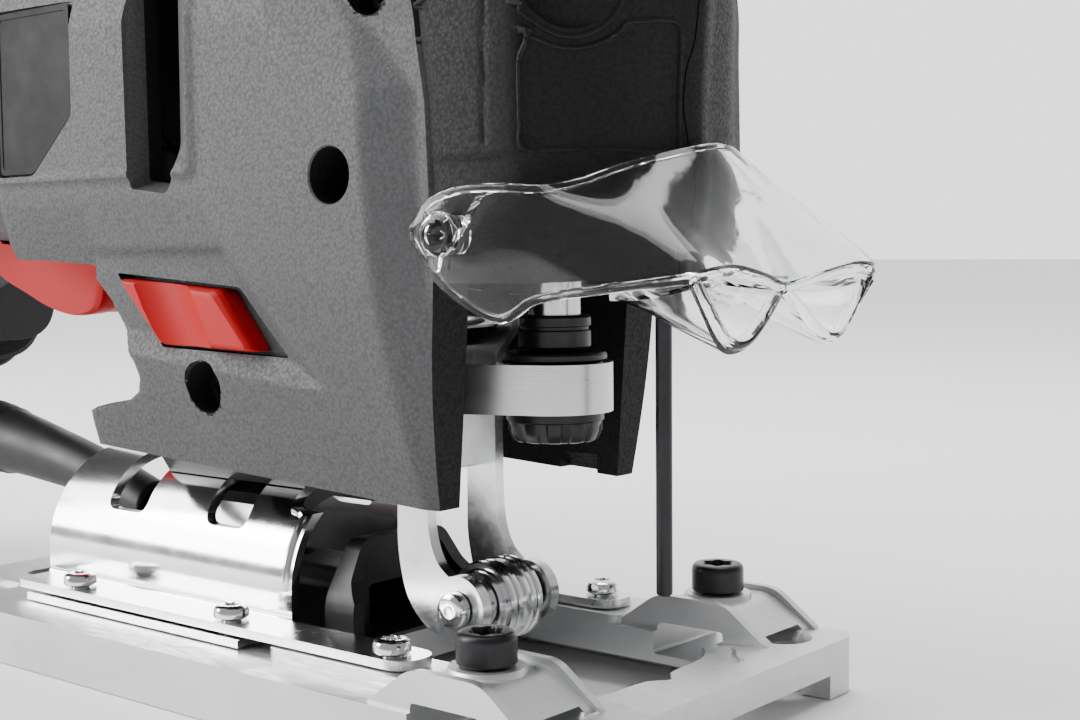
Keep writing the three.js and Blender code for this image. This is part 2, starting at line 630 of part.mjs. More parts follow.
// A clear sheet between the two edge curves, bulging forward, with an ear each side.
function chipCover() {
  const [steps, rows] = [30, 3];
  const [top, foot] = [edgeCurve(coverTop), edgeCurve(coverFoot)];
  const rings = [];
  for (let i = 0; i <= steps; i += 1) {
    const t = i / steps;
    const [high, low] = [top.getPoint(t), foot.getPoint(t)];
    const along = top.getTangent(t);
    const out = new THREE.Vector3(along.y, -along.x, 0).normalize().multiplyScalar(cover.wall);
    const inner = [];
    for (let j = 0; j <= rows; j += 1) {
      const v = j / rows;
      inner.push(new THREE.Vector3(
        low.x + (high.x - low.x) * v ** 1.25, low.y + (high.y - low.y) * v, low.z + (high.z - low.z) * v));
    }
    const outer = inner.map((point) => point.clone().add(out)).reverse();
    rings.push([...inner, ...outer].map((point) => point.toArray()));
  }
  const earHoles = rod('y', 3, [-40, 40], [cover.earX, cover.earZ], 20);
  return loft(rings).subtract(earHoles);
}

function coverClip(side) {
  const profile = [[0, 25.4], [2.6, 25.4], [2.6, 31.2], [4, 31.5], [4, 32.3], [0, 32.8]];
  const placed = profile.map(([radius, place]) => [radius, side * place]);
  return turned('y', placed, [cover.earX, cover.earZ], 16);
}

addPiece('chip_cover', chipCover(), finish(0xe8eef2, 0.08, 0));
for (const [word, side] of sides) addPiece(`cover_clip_${word}`, coverClip(side), blackPlastic());

// ---------- controls ----------
function trigger() {
  const shape = new THREE.Shape();
  shape.moveTo(-131, 61.4).lineTo(-164, 63.4).absarc(...triggerPivot, 3.6, Math.PI * 0.4, Math.PI * 1.4);
  shape.bezierCurveTo(-167, 58, -161, 54.2, -156, 53.4);
  shape.bezierCurveTo(-151, 52.2, -147, 49.6, -141, 49.4);
  shape.lineTo(-134.5, 50).quadraticCurveTo(-131, 51.5, -130.6, 56).lineTo(-131, 61.4);
  return cut(prism('xz', shape, [-10, 10]), [rod('y', 1.7, [-12, 12], triggerPivot, 16)]);
}

// Button with a thumb hollow, a stem through the wall and the keeper plate behind it.
function lockSlider() {
  const face = [[-99.7, 57.2], [-89.3, 46.7], [-66.4, 46.2], [-74.6, 55.6]];
  const button = joined([
    prism('xz', face, [-29.4, -25]),
    block([-87, -83], [-25.5, -17], [49.3, 53.7]),
    block([-89.7, -80.3], [-18.2, -16.7], [47.3, 55.7]),
  ]);
  return button.subtract(rod('z', 9, [40, 62], [-84.5, -36.4], 32));
}

function orbitSelector() {
  const { x, z, radius } = selector;
  return joined([
    rod('y', radius, [28.2, 31.4], [x, z], 32),
    rod('y', 3, [16, 29], [x, z], 20),
    block([x - 2, x + 2], [31, 34.6], [z - 7.4, z + 7.4]),
  ]);
}

addPiece('trigger', trigger(), redPlastic());
addPiece('trigger_pin', rod('y', 1.4, [-12.4, 12.4], triggerPivot, 16), platedSteel());
addPiece('lock_slider', lockSlider(), redPlastic());
addPiece('orbit_selector', orbitSelector(), redPlastic());

// ---------- battery end ----------
const receiver = { front: housing.rear - GAP, rear: pack.front + GAP, halfWidth: 34, low: 41, high: 139 };

function verticalPlate(x, halfWidth, low, high, corner) {
  return prism('yz', roundedBox([-halfWidth, halfWidth], [low, high], corner), x);
}

function batteryReceiver() {
  const plateSolid = verticalPlate([receiver.rear, receiver.front], receiver.halfWidth, receiver.low,
    receiver.high, 10);
  return plateSolid.subtract(block([receiver.rear - 1, receiver.front + 1], [-12, 12], [66, 112]));
}

// Pack with a raised tongue that enters the receiver's window.
function batteryCase() {
  const front = 12;
  return joined([
    verticalPlate([pack.rear, pack.rear + 6], pack.halfWidth - 2, pack.low + 2, pack.high - 2, 12),
    verticalPlate([pack.rear + 5, pack.front - front], pack.halfWidth, pack.low, pack.high, 13),
    verticalPlate([pack.front - front - 1, pack.front], pack.halfWidth - 3, pack.low + 3, pack.high - 3, 12),
  ]).subtract(block([pack.rear - 1, pack.rear + 9], [-15, 15], [pack.high - 34, pack.high - 18]));
}

addPiece('battery_receiver', batteryReceiver(), blackPlastic());
addPiece('contact_block', block([-215, -208.5], [-11, 11], [68, 110]), blackPlastic());
addPiece('battery_case', batteryCase(), shellPlastic());
addPiece('battery_latch', block([pack.rear + 0.6, pack.rear + 5.4], [-14.6, 14.6],
  [pack.high - 33.6, pack.high - 18.4]), redPlastic());

// ---------- placing ----------
// The origin is under the middle of the whole tool, on the surface that the sole rests on.
const bounds = new THREE.Box3().setFromObject(jigsaw);
jigsaw.position.set(-(bounds.min.x + bounds.max.x) / 2, 0, -sole);

export default jigsaw;
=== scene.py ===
"""Looks of a cordless orbital jigsaw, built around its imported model.

Every visible piece is a smooth mesh worked out with numpy in millimetres in the maker's own
datum (X 0 on the front edge of the base plate, Z 0 on the plate's top face) and placed in the
model's frame in metres.
"""

import json
import logging
import math
from collections.abc import Iterable, Sequence
from dataclasses import dataclass, field
from enum import Enum

import bmesh
import bpy
import numpy as np
from mathutils import Matrix, Vector

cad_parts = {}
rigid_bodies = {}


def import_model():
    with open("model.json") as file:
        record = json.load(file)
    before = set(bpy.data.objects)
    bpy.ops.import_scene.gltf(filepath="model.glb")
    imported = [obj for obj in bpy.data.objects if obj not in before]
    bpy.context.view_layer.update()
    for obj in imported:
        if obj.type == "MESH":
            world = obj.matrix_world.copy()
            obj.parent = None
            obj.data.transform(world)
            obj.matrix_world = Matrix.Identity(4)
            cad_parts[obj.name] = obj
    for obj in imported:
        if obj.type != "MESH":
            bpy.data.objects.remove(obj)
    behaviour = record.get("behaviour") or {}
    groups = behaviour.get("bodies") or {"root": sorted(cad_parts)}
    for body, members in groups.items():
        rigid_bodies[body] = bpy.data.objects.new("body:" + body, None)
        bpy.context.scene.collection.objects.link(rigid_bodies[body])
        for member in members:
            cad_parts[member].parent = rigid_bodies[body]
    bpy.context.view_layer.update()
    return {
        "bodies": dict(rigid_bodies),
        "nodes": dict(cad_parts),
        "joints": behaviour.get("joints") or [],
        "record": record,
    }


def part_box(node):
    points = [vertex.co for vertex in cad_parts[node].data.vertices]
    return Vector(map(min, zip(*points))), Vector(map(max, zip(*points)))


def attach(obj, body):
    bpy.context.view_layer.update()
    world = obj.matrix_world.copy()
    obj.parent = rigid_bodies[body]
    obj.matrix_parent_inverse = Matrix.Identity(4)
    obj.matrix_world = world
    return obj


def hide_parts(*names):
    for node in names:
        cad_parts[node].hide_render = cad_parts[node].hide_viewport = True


log = logging.getLogger("jigsaw")
Array = np.ndarray
Outline = Sequence[tuple[float, float]]
Piece = bpy.types.Object
Material = bpy.types.Material
MM = 0.001  # metres in a millimetre
PLATE_THICK = 0.00875  # metres, from the sole to the top face
MERGE_WITHIN = 2e-7  # metres between points that become one


class Side(Enum):
    """The two sides of the tool, as the sign of Y."""

    RIGHT = -1
    LEFT = 1

    @property
    def word(self) -> str:
        """The side's name as the model's nodes spell it."""
        return self.name.lower()

    def span(self, near: float, far: float) -> tuple[float, float]:
        """The range between two distances out from the middle, its low end first."""
        low, high = sorted((self.value * near, self.value * far))
        return low, high


class Axis(Enum):
    """An axis that a profile is turned about or an outline is drawn square to."""

    X = 0
    Y = 1
    Z = 2


@dataclass(frozen=True)
class Datum:
    """Carries millimetres in the maker's datum to metres in the model's frame."""

    front: float
    top: float

    @classmethod
    def of_model(cls) -> "Datum":
        """Reads the datum off the base plate: its front edge and its 8.75 mm thickness."""
        return cls(front=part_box("base_plate")[1].x, top=PLATE_THICK)

    def place(self, points: Array) -> Array:
        """Scales points to metres and shifts them on to the model."""
        return points * MM + np.array([self.front, 0.0, self.top])


# ---------------------------------------------------------------- mesh making
def grid_faces(rows: int, columns: int, wrap: bool = True) -> list[list[int]]:
    """Joins a grid of points with quads.

    Args:
        rows: Number of rows of points.
        columns: Number of points in a row.
        wrap: Whether the last column joins the first.

    Returns:
        Vertex numbers of each quad: (i, i+1 on the same row, then the same two a row up).
    """
    across = columns if wrap else columns - 1
    row, column = np.meshgrid(np.arange(rows - 1), np.arange(across), indexing="ij")
    after = (column + 1) % columns
    quads = np.stack([row * columns + column, row * columns + after,
                      (row + 1) * columns + after, (row + 1) * columns + column], axis=-1)
    return quads.reshape(-1, 4).tolist()


def make_piece(name: str, points: Array, faces: list[list[int]], datum: Datum) -> Piece:
    """Makes a piece of points in millimetres, with its doubles merged and its faces outwards.

    Args:
        name: The piece's name.
        points: N by 3 points in the maker's datum.
        faces: Vertex numbers of each face.
        datum: Where the maker's datum is in the model.

    Returns:
        The new object, linked to the scene at the origin.
    """
    mesh = bpy.data.meshes.new(name)
    mesh.from_pydata(datum.place(points).tolist(), [], faces)
    work = bmesh.new()
    work.from_mesh(mesh)
    bmesh.ops.remove_doubles(work, verts=work.verts, dist=MERGE_WITHIN)
    bmesh.ops.dissolve_degenerate(work, dist=1e-7, edges=work.edges)
    bmesh.ops.recalc_face_normals(work, faces=work.faces)
    work.to_mesh(mesh)
    work.free()
    piece = bpy.data.objects.new(name, mesh)
    bpy.context.scene.collection.objects.link(piece)
    return piece


def lofted(name: str, rings: Array, datum: Datum) -> Piece:
    """Skins closed rings into one closed body, with a flat cap on each end.

    Args:
        name: The piece's name.
        rings: Array of rings, each a closed loop of as many points as the others.
        datum: Where the maker's datum is in the model.

    Returns:
        The closed piece.
    """
    count, around = rings.shape[0], rings.shape[1]
    faces = grid_faces(count, around)
    faces.append(list(range(around))[::-1])
    faces.append([(count - 1) * around + i for i in range(around)])
    return make_piece(name, rings.reshape(-1, 3), faces, datum)


def along(axis: Axis, across_a: Array, across_b: Array, place: Array) -> Array:
    """Stacks two drawing coordinates and a place along an axis into points.

    Returns:
        Points with `place` on the axis and the drawing's two coordinates on the other two, in X, Y, Z order.
    """
    parts = {Axis.X: (place, across_a, across_b), Axis.Y: (across_a, place, across_b),
             Axis.Z: (across_a, across_b, place)}[axis]
    return np.stack(np.broadcast_arrays(*parts), axis=-1)


def prism(name: str, outline: Array | Outline, axis: Axis, low: float, high: float,
          datum: Datum) -> Piece:
    """Carries a closed outline straight along an axis, from low to high.

    Args:
        name: The piece's name.
        outline: Points of the outline on the two axes square to `axis`.
        axis: Direction of the carry.
        low: Where it starts, in millimetres.
        high: Where it ends.
        datum: Where the maker's datum is in the model.

    Returns:
        The closed piece.
    """
    drawn = np.asarray(outline, float)
    rings = np.stack([along(axis, drawn[:, 0], drawn[:, 1], np.full(len(drawn), place))
                      for place in (low, high)])
    return lofted(name, rings, datum)


def box(name: str, x: tuple[float, float], y: tuple[float, float], z: tuple[float, float],
        datum: Datum) -> Piece:
    """A plain block between two corners, used to cut or join."""
    return prism(name, [(x[0], y[0]), (x[1], y[0]), (x[1], y[1]), (x[0], y[1])], Axis.Z, z[0], z[1], datum)


def turned(name: str, profile: Outline, axis: Axis, centre: tuple[float, float], datum: Datum,
           segments: int = 64, key: Array | None = None, keyed: Sequence[int] = ()) -> Piece:
    """Turns a profile about an axis: point = centre + radius (cos a, sin a), place along the axis.

    Args:
        name: The piece's name.
        profile: Pairs of radius and place along the axis; it starts and ends on the axis or closes.
        axis: The axis that it turns about.
        centre: The axis's place on the other two axes.
        datum: Where the maker's datum is in the model.
        segments: Points round the axis.
        key: Factor on the radius at each point round, for a driver's recess.
        keyed: Numbers of the profile points that take the factor.

    Returns:
        The closed piece.
    """
    drawn = np.asarray(profile, float)
    angle = np.linspace(0.0, 2 * np.pi, segments, endpoint=False)
    factor = np.ones((len(drawn), segments))
    if key is not None:
        factor[list(keyed)] = key
    radius = drawn[:, :1] * factor
    points = along(axis, centre[0] + radius * np.cos(angle), centre[1] + radius * np.sin(angle),
                   drawn[:, 1:2] * np.ones(segments))
    return make_piece(name, points.reshape(-1, 3), grid_faces(len(drawn), segments), datum)


def rod(name: str, axis: Axis, radius: float, low: float, high: float, centre: tuple[float, float],
        datum: Datum, segments: int = 48) -> Piece:
    """A plain round bar, used to cut or join."""
    return turned(name, [(0, low), (radius, low), (radius, high), (0, high)], axis, centre, datum, segments)


def tube(name: str, path: Array, radius: float | Array, datum: Datum, around: int = 12,
         closed: bool = False) -> Piece:
    """Carries a circle along a path: point = path + radius (cos a normal + sin a binormal).

    Args:
        name: The piece's name.
        path: Points of the path.
        radius: One radius, or one for each point.
        datum: Where the maker's datum is in the model.
        around: Points round the circle.
        closed: Whether the path joins up with itself.

    Returns:
        The tube, with its ends closed where the path is open.
    """
    ahead = (np.roll(path, -1, 0) - np.roll(path, 1, 0)) if closed else np.gradient(path, axis=0)
    ahead = ahead / np.linalg.norm(ahead, axis=1, keepdims=True)
    helper = np.array([0.13, 0.21, 1.0]) if abs(ahead[:, 2]).mean() < 0.8 else np.array([1.0, 0.2, 0.1])
    normal = np.cross(ahead, helper)
    normal = normal / np.linalg.norm(normal, axis=1, keepdims=True)
    binormal = np.cross(ahead, normal)
    angle = np.linspace(0, 2 * np.pi, around, endpoint=False)[None, :, None]
    thick = np.broadcast_to(np.asarray(radius, float), (len(path),))[:, None, None]
    rings = path[:, None] + thick * (np.cos(angle) * normal[:, None] + np.sin(angle) * binormal[:, None])
    if closed:
        rings = np.concatenate([rings, rings[:1]])
        return make_piece(name, rings.reshape(-1, 3), grid_faces(len(rings), around), datum)
    return lofted(name, rings, datum)


def curve_through(points: Array | Sequence[Sequence[float]], count: int, closed: bool = False) -> Array:
    """Draws a smooth curve through points with the Catmull-Rom formula.

    Each span is half of (2p1 + (p2 - p0)t + (2p0 - 5p1 + 4p2 - p3)t^2 + (3p1 - p0 - 3p2 + p3)t^3).

    Args:
        points: The points that the curve passes.
        count: How many points to draw it with.
        closed: Whether it joins up with itself.

    Returns:
        Points of the curve, evenly numbered over its spans.
    """
    given = np.asarray(points, float)
    spans = len(given) if closed else len(given) - 1
    place = np.linspace(0, spans, count, endpoint=not closed)
    span = np.minimum(place.astype(int), spans - 1)
    t = (place - span)[:, None]
    number = np.arange(-1, 3)[:, None] + span
    number = number % len(given) if closed else np.clip(number, 0, len(given) - 1)
    p0, p1, p2, p3 = given[number]
    return 0.5 * (2 * p1 + (p2 - p0) * t + (2 * p0 - 5 * p1 + 4 * p2 - p3) * t ** 2
                  + (3 * p1 - p0 - 3 * p2 + p3) * t ** 3)


def rounded(outline: Array | Outline, radius: float | Sequence[float], steps: int = 6) -> Array:
    """Rounds each corner of an outline with a quadratic curve that starts `radius` before it.

    Args:
        outline: The corners.
        radius: One radius, or one for each corner.
        steps: Points on each rounded corner.

    Returns:
        The outline's new points.
    """
    corner = np.asarray(outline, float)
    before, after = np.roll(corner, 1, 0) - corner, np.roll(corner, -1, 0) - corner
    length_before = np.linalg.norm(before, axis=1, keepdims=True)
    length_after = np.linalg.norm(after, axis=1, keepdims=True)
    wanted = np.broadcast_to(np.asarray(radius, float), (len(corner),))[:, None]
    start = corner + before / length_before * np.minimum(wanted, 0.49 * length_before)
    end = corner + after / length_after * np.minimum(wanted, 0.49 * length_after)
    t = np.linspace(0, 1, steps)[None, :, None]
    arcs = (1 - t) ** 2 * start[:, None] + 2 * t * (1 - t) * corner[:, None] + t ** 2 * end[:, None]
    return arcs.reshape(-1, 2)


def rounded_box(a: tuple[float, float], b: tuple[float, float], radius: float, steps: int = 8) -> Array:
    """Outline of a rectangle between two ranges with round corners."""
    return rounded([(a[0], b[0]), (a[1], b[0]), (a[1], b[1]), (a[0], b[1])], radius, steps)


def settle(piece: Piece) -> Piece:
    """Gives a piece the mesh that its modifiers make, and takes them off."""
    bpy.context.view_layer.update()
    made = bpy.data.meshes.new_from_object(piece.evaluated_get(bpy.context.evaluated_depsgraph_get()))
    made.materials.clear()
    old = piece.data
    piece.modifiers.clear()
    piece.data = made
    made.name = piece.name
    bpy.data.meshes.remove(old)
    return piece


def shape_with(piece: Piece, tools: Iterable[Piece], operation: str) -> Piece:
    """Joins, cuts or trims a piece with tool pieces, which are used up.

    Args:
        piece: The piece to change.
        tools: Closed pieces.
        operation: UNION, DIFFERENCE or INTERSECT.

    Returns:
        The same piece.
    """
    for number, tool in enumerate(tools):
        change = piece.modifiers.new(f"{operation.lower()}_{number}", "BOOLEAN")
        change.operation = operation
        change.solver = "MANIFOLD"
        change.object = tool
        settle(piece)
        bpy.data.objects.remove(tool)
    return piece


def soften(piece: Piece, width: float, segments: int = 3, angle: float = 32.0) -> Piece:
    """Rounds a piece's sharp edges and lets its flat faces keep their own shading.

    Args:
        piece: A closed piece.
        width: Width of the rounding in millimetres.
        segments: Steps across it.
        angle: Edges turning more than this are rounded, in degrees.

    Returns:
        The same piece.
    """
    work = bmesh.new()
    work.from_mesh(piece.data)
    bmesh.ops.remove_doubles(work, verts=work.verts, dist=1e-6)
    bmesh.ops.dissolve_limit(work, angle_limit=math.radians(0.6), verts=work.verts, edges=work.edges)
    work.to_mesh(piece.data)
    work.free()
    edge = piece.modifiers.new("edge", "BEVEL")
    edge.width = width * MM
    edge.segments = segments
    edge.limit_method = "ANGLE"
    edge.angle_limit = math.radians(angle)
    edge.miter_outer = "MITER_ARC"
    settle(piece)
    piece.data.shade_smooth()
    face = piece.modifiers.new("face", "WEIGHTED_NORMAL")
    face.keep_sharp = False
    face.weight = 80
    return settle(piece)


def smoothed(piece: Piece, angle: float = 32.0) -> Piece:
    """Shades a piece smooth, with a crease where its faces turn more than an angle in degrees."""
    piece.data.shade_smooth()
    piece.data.set_sharp_from_angle(angle=math.radians(angle))
    return piece


def join_meshes(name: str, parts: Sequence[Piece]) -> Piece:
    """Gathers several pieces that don't touch into one piece with all their faces."""
    whole = bpy.data.meshes.new(name)
    work = bmesh.new()
    for part in parts:
        work.from_mesh(part.data)
    work.to_mesh(whole)
    work.free()
    for part in parts:
        bpy.data.objects.remove(part)
    piece = bpy.data.objects.new(name, whole)
    bpy.context.scene.collection.objects.link(piece)
    return piece


def fit_out(piece: Piece, material: Material, body: str, slot: str,
            *nodes: str) -> Piece:
    """Dresses a piece and ties it to the model.

    Args:
        piece: The finished piece.
        material: Its finish.
        body: The moving body that it rides on.
        slot: The record's material slot; not used.
        nodes: The model's nodes that it stands for.

    Returns:
        The same piece.
    """
    if not piece.data.materials:
        piece.data.materials.append(material)
    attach(piece, body)
    if nodes:
        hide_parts(*nodes)
    log.info("%s: %d faces on %s", piece.name, len(piece.data.polygons), body)
    return piece


# ---------------------------------------------------------------- finishes
def empty_material(name: str) -> tuple[Material, bpy.types.NodeTree]:
    """Makes a material with no nodes in it, and gives its node tree too."""
    material = bpy.data.materials.new(name)
    material.use_nodes = True
    material.node_tree.nodes.clear()
    return material, material.node_tree


def lay_out(tree: bpy.types.NodeTree, groups: dict[str, list[bpy.types.Node]]) -> None:
    """Puts a finish's nodes in framed groups, left to right by effect.

    Args:
        tree: The finish's node tree.
        groups: For each frame's title, its nodes in reading order.
    """
    left = -220.0 * sum(len(members) for members in groups.values())
    for title, members in groups.items():
        frame = tree.nodes.new("NodeFrame")
        frame.label = title
        for step, node in enumerate(members):
            node.parent = frame
            node.location = (left + 220.0 * step, -60.0 * (step % 3))
        left += 220.0 * len(members) + 60.0


@dataclass(frozen=True)
class GrainedPlastic:
    """Moulded plastic with a fine pebbled grain.

    Attributes:
        name: The finish's name.
        colour: Base colour, linear.
        roughness: Mean roughness.
        pebble: Width of a pebble in millimetres.
        depth: Height of the grain in millimetres.
        shine: Level of the mirror-like part of its gloss.
    """

    name: str
    colour: tuple[float, float, float]
    roughness: float = 0.55
    pebble: float = 0.55
    depth: float = 0.05
    shine: float = 0.3

    def build(self) -> Material:
        """Makes the finish: pebbles and pores in the bump, painted shade between the pebbles, a slow drift in
        colour and sheen.
        """
        material, tree = empty_material(self.name)
        place = tree.nodes.new("ShaderNodeTexCoord")
        place.label = "place on the moulding"
        pebbles = tree.nodes.new("ShaderNodeTexVoronoi")
        pebbles.label = "grain pebbles"
        pebbles.feature = "SMOOTH_F1"
        pebbles.inputs["Scale"].default_value = 1000.0 / self.pebble
        pebbles.inputs["Smoothness"].default_value = 0.6
        pores = tree.nodes.new("ShaderNodeTexNoise")
        pores.label = "fine pores"
        pores.inputs["Scale"].default_value = 2600.0
        pores.inputs["Detail"].default_value = 3.0
        both = tree.nodes.new("ShaderNodeMath")
        both.label = "pebbles less pores"
        both.operation = "SUBTRACT"
        share = tree.nodes.new("ShaderNodeMath")
        share.label = "how much the pores count"
        share.operation = "MULTIPLY"
        share.inputs[1].default_value = 0.55
        bump = tree.nodes.new("ShaderNodeBump")
        bump.label = "grain standing up"
        bump.inputs["Strength"].default_value = 0.85
        bump.inputs["Distance"].default_value = self.depth * MM
        bump.invert = True
        drift = tree.nodes.new("ShaderNodeTexNoise")
        drift.label = "slow drift of the moulding"
        drift.inputs["Scale"].default_value = 38.0
        drift.inputs["Detail"].default_value = 4.0
        tone = tree.nodes.new("ShaderNodeValToRGB")
        tone.label = "plastic colour"
        tone.color_ramp.elements[0].position = 0.3
        tone.color_ramp.elements[1].position = 0.75
        tone.color_ramp.elements[0].color = (*[0.9 * c for c in self.colour], 1)
        tone.color_ramp.elements[1].color = (*[1.12 * c for c in self.colour], 1)
        # Painted shade: the colour falls to 0.55 of itself between the pebbles, where shade sits in the
        # grain's hollows.
        painted_pebble_shade = tree.nodes.new("ShaderNodeMix")
        painted_pebble_shade.label = "painted shade between pebbles"
        painted_pebble_shade.data_type = "RGBA"
        painted_pebble_shade.inputs["B"].default_value = (*[0.55 * c for c in self.colour], 1)
        sheen = tree.nodes.new("ShaderNodeMapRange")
        sheen.label = "pebble tops shine more"
        sheen.inputs["From Max"].default_value = 0.7
        sheen.inputs["To Min"].default_value = self.roughness - 0.12
        sheen.inputs["To Max"].default_value = self.roughness + 0.15
        surface = tree.nodes.new("ShaderNodeBsdfPrincipled")
        surface.label = "grained plastic"
        surface.inputs["Specular IOR Level"].default_value = self.shine
        surface.inputs["IOR"].default_value = 1.49
        out = tree.nodes.new("ShaderNodeOutputMaterial")
        link = tree.links.new
        link(place.outputs["Object"], pebbles.inputs["Vector"])
        link(place.outputs["Object"], pores.inputs["Vector"])
        link(place.outputs["Object"], drift.inputs["Vector"])
        link(pores.outputs["Fac"], share.inputs[0])
        link(pebbles.outputs["Distance"], both.inputs[0])
        link(share.outputs[0], both.inputs[1])
        link(both.outputs[0], bump.inputs["Height"])
        link(drift.outputs["Fac"], tone.inputs["Fac"])
        link(pebbles.outputs["Distance"], painted_pebble_shade.inputs["Factor"])
        link(tone.outputs["Color"], painted_pebble_shade.inputs["A"])
        link(pebbles.outputs["Distance"], sheen.inputs["Value"])
        link(painted_pebble_shade.outputs["Result"], surface.inputs["Base Color"])
        link(sheen.outputs["Result"], surface.inputs["Roughness"])
        link(bump.outputs["Normal"], surface.inputs["Normal"])
        link(surface.outputs["BSDF"], out.inputs["Surface"])
        lay_out(tree, {"Place": [place], "Grain": [pebbles, pores, share, both, bump],
                       "Colour": [drift, tone, painted_pebble_shade], "Sheen": [sheen], "Surface": [surface, out]})
        return material


@dataclass(frozen=True)
class SmoothPlastic:
    """Plastic moulded in a polished or satin tool.

    Attributes:
        name: The finish's name.
        colour: Base colour, linear.
        roughness: Mean roughness.
        coat: Weight of the glossy skin.
        glow: Share of light that passes under the skin.
        shine: Level of the mirror-like part of its gloss.
    """

    name: str
    colour: tuple[float, float, float]
    roughness: float = 0.35
    coat: float = 0.0
    glow: float = 0.0
    shine: float = 0.35

    def build(self) -> Material:
        """Makes the finish: a faint orange-peel bump, handling marks in the gloss, a drift in colour."""
        material, tree = empty_material(self.name)
        place = tree.nodes.new("ShaderNodeTexCoord")
        place.label = "place on the moulding"
        peel = tree.nodes.new("ShaderNodeTexNoise")
        peel.label = "orange peel"
        peel.inputs["Scale"].default_value = 900.0
        peel.inputs["Detail"].default_value = 2.0
        bump = tree.nodes.new("ShaderNodeBump")
        bump.label = "skin of the moulding"
        bump.inputs["Strength"].default_value = 0.25
        bump.inputs["Distance"].default_value = 0.00003
        marks = tree.nodes.new("ShaderNodeTexNoise")
        marks.label = "handling marks"
        marks.inputs["Scale"].default_value = 120.0
        marks.inputs["Detail"].default_value = 6.0
        marks.inputs["Roughness"].default_value = 0.7
        gloss = tree.nodes.new("ShaderNodeMapRange")
        gloss.label = "gloss where it is handled"
        gloss.inputs["From Min"].default_value = 0.3
        gloss.inputs["From Max"].default_value = 0.7
        gloss.inputs["To Min"].default_value = self.roughness - 0.06
        gloss.inputs["To Max"].default_value = self.roughness + 0.1
        drift = tree.nodes.new("ShaderNodeTexNoise")
        drift.label = "slow drift of the pigment"
        drift.inputs["Scale"].default_value = 60.0
        tone = tree.nodes.new("ShaderNodeValToRGB")
        tone.label = "plastic colour"
        tone.color_ramp.elements[0].position = 0.3
        tone.color_ramp.elements[1].position = 0.7
        tone.color_ramp.elements[0].color = (*[0.92 * c for c in self.colour], 1)
        tone.color_ramp.elements[1].color = (*[min(1.0, 1.06 * c) for c in self.colour], 1)
        surface = tree.nodes.new("ShaderNodeBsdfPrincipled")
        surface.label = "smooth plastic"
        surface.inputs["Specular IOR Level"].default_value = self.shine
        surface.inputs["IOR"].default_value = 1.49
        surface.inputs["Coat Weight"].default_value = self.coat
        surface.inputs["Coat Roughness"].default_value = 0.12
        surface.inputs["Subsurface Weight"].default_value = self.glow
        surface.inputs["Subsurface Radius"].default_value = (0.0012, 0.0003, 0.0002)
        out = tree.nodes.new("ShaderNodeOutputMaterial")
        link = tree.links.new
        for noise in (peel, marks, drift):
            link(place.outputs["Object"], noise.inputs["Vector"])
        link(peel.outputs["Fac"], bump.inputs["Height"])
        link(marks.outputs["Fac"], gloss.inputs["Value"])
        link(drift.outputs["Fac"], tone.inputs["Fac"])
        link(tone.outputs["Color"], surface.inputs["Base Color"])
        link(gloss.outputs["Result"], surface.inputs["Roughness"])
        link(bump.outputs["Normal"], surface.inputs["Normal"])
        link(surface.outputs["BSDF"], out.inputs["Surface"])
        lay_out(tree, {"Place": [place], "Skin": [peel, bump], "Gloss": [marks, gloss],
                       "Colour": [drift, tone], "Surface": [surface, out]})
        return material


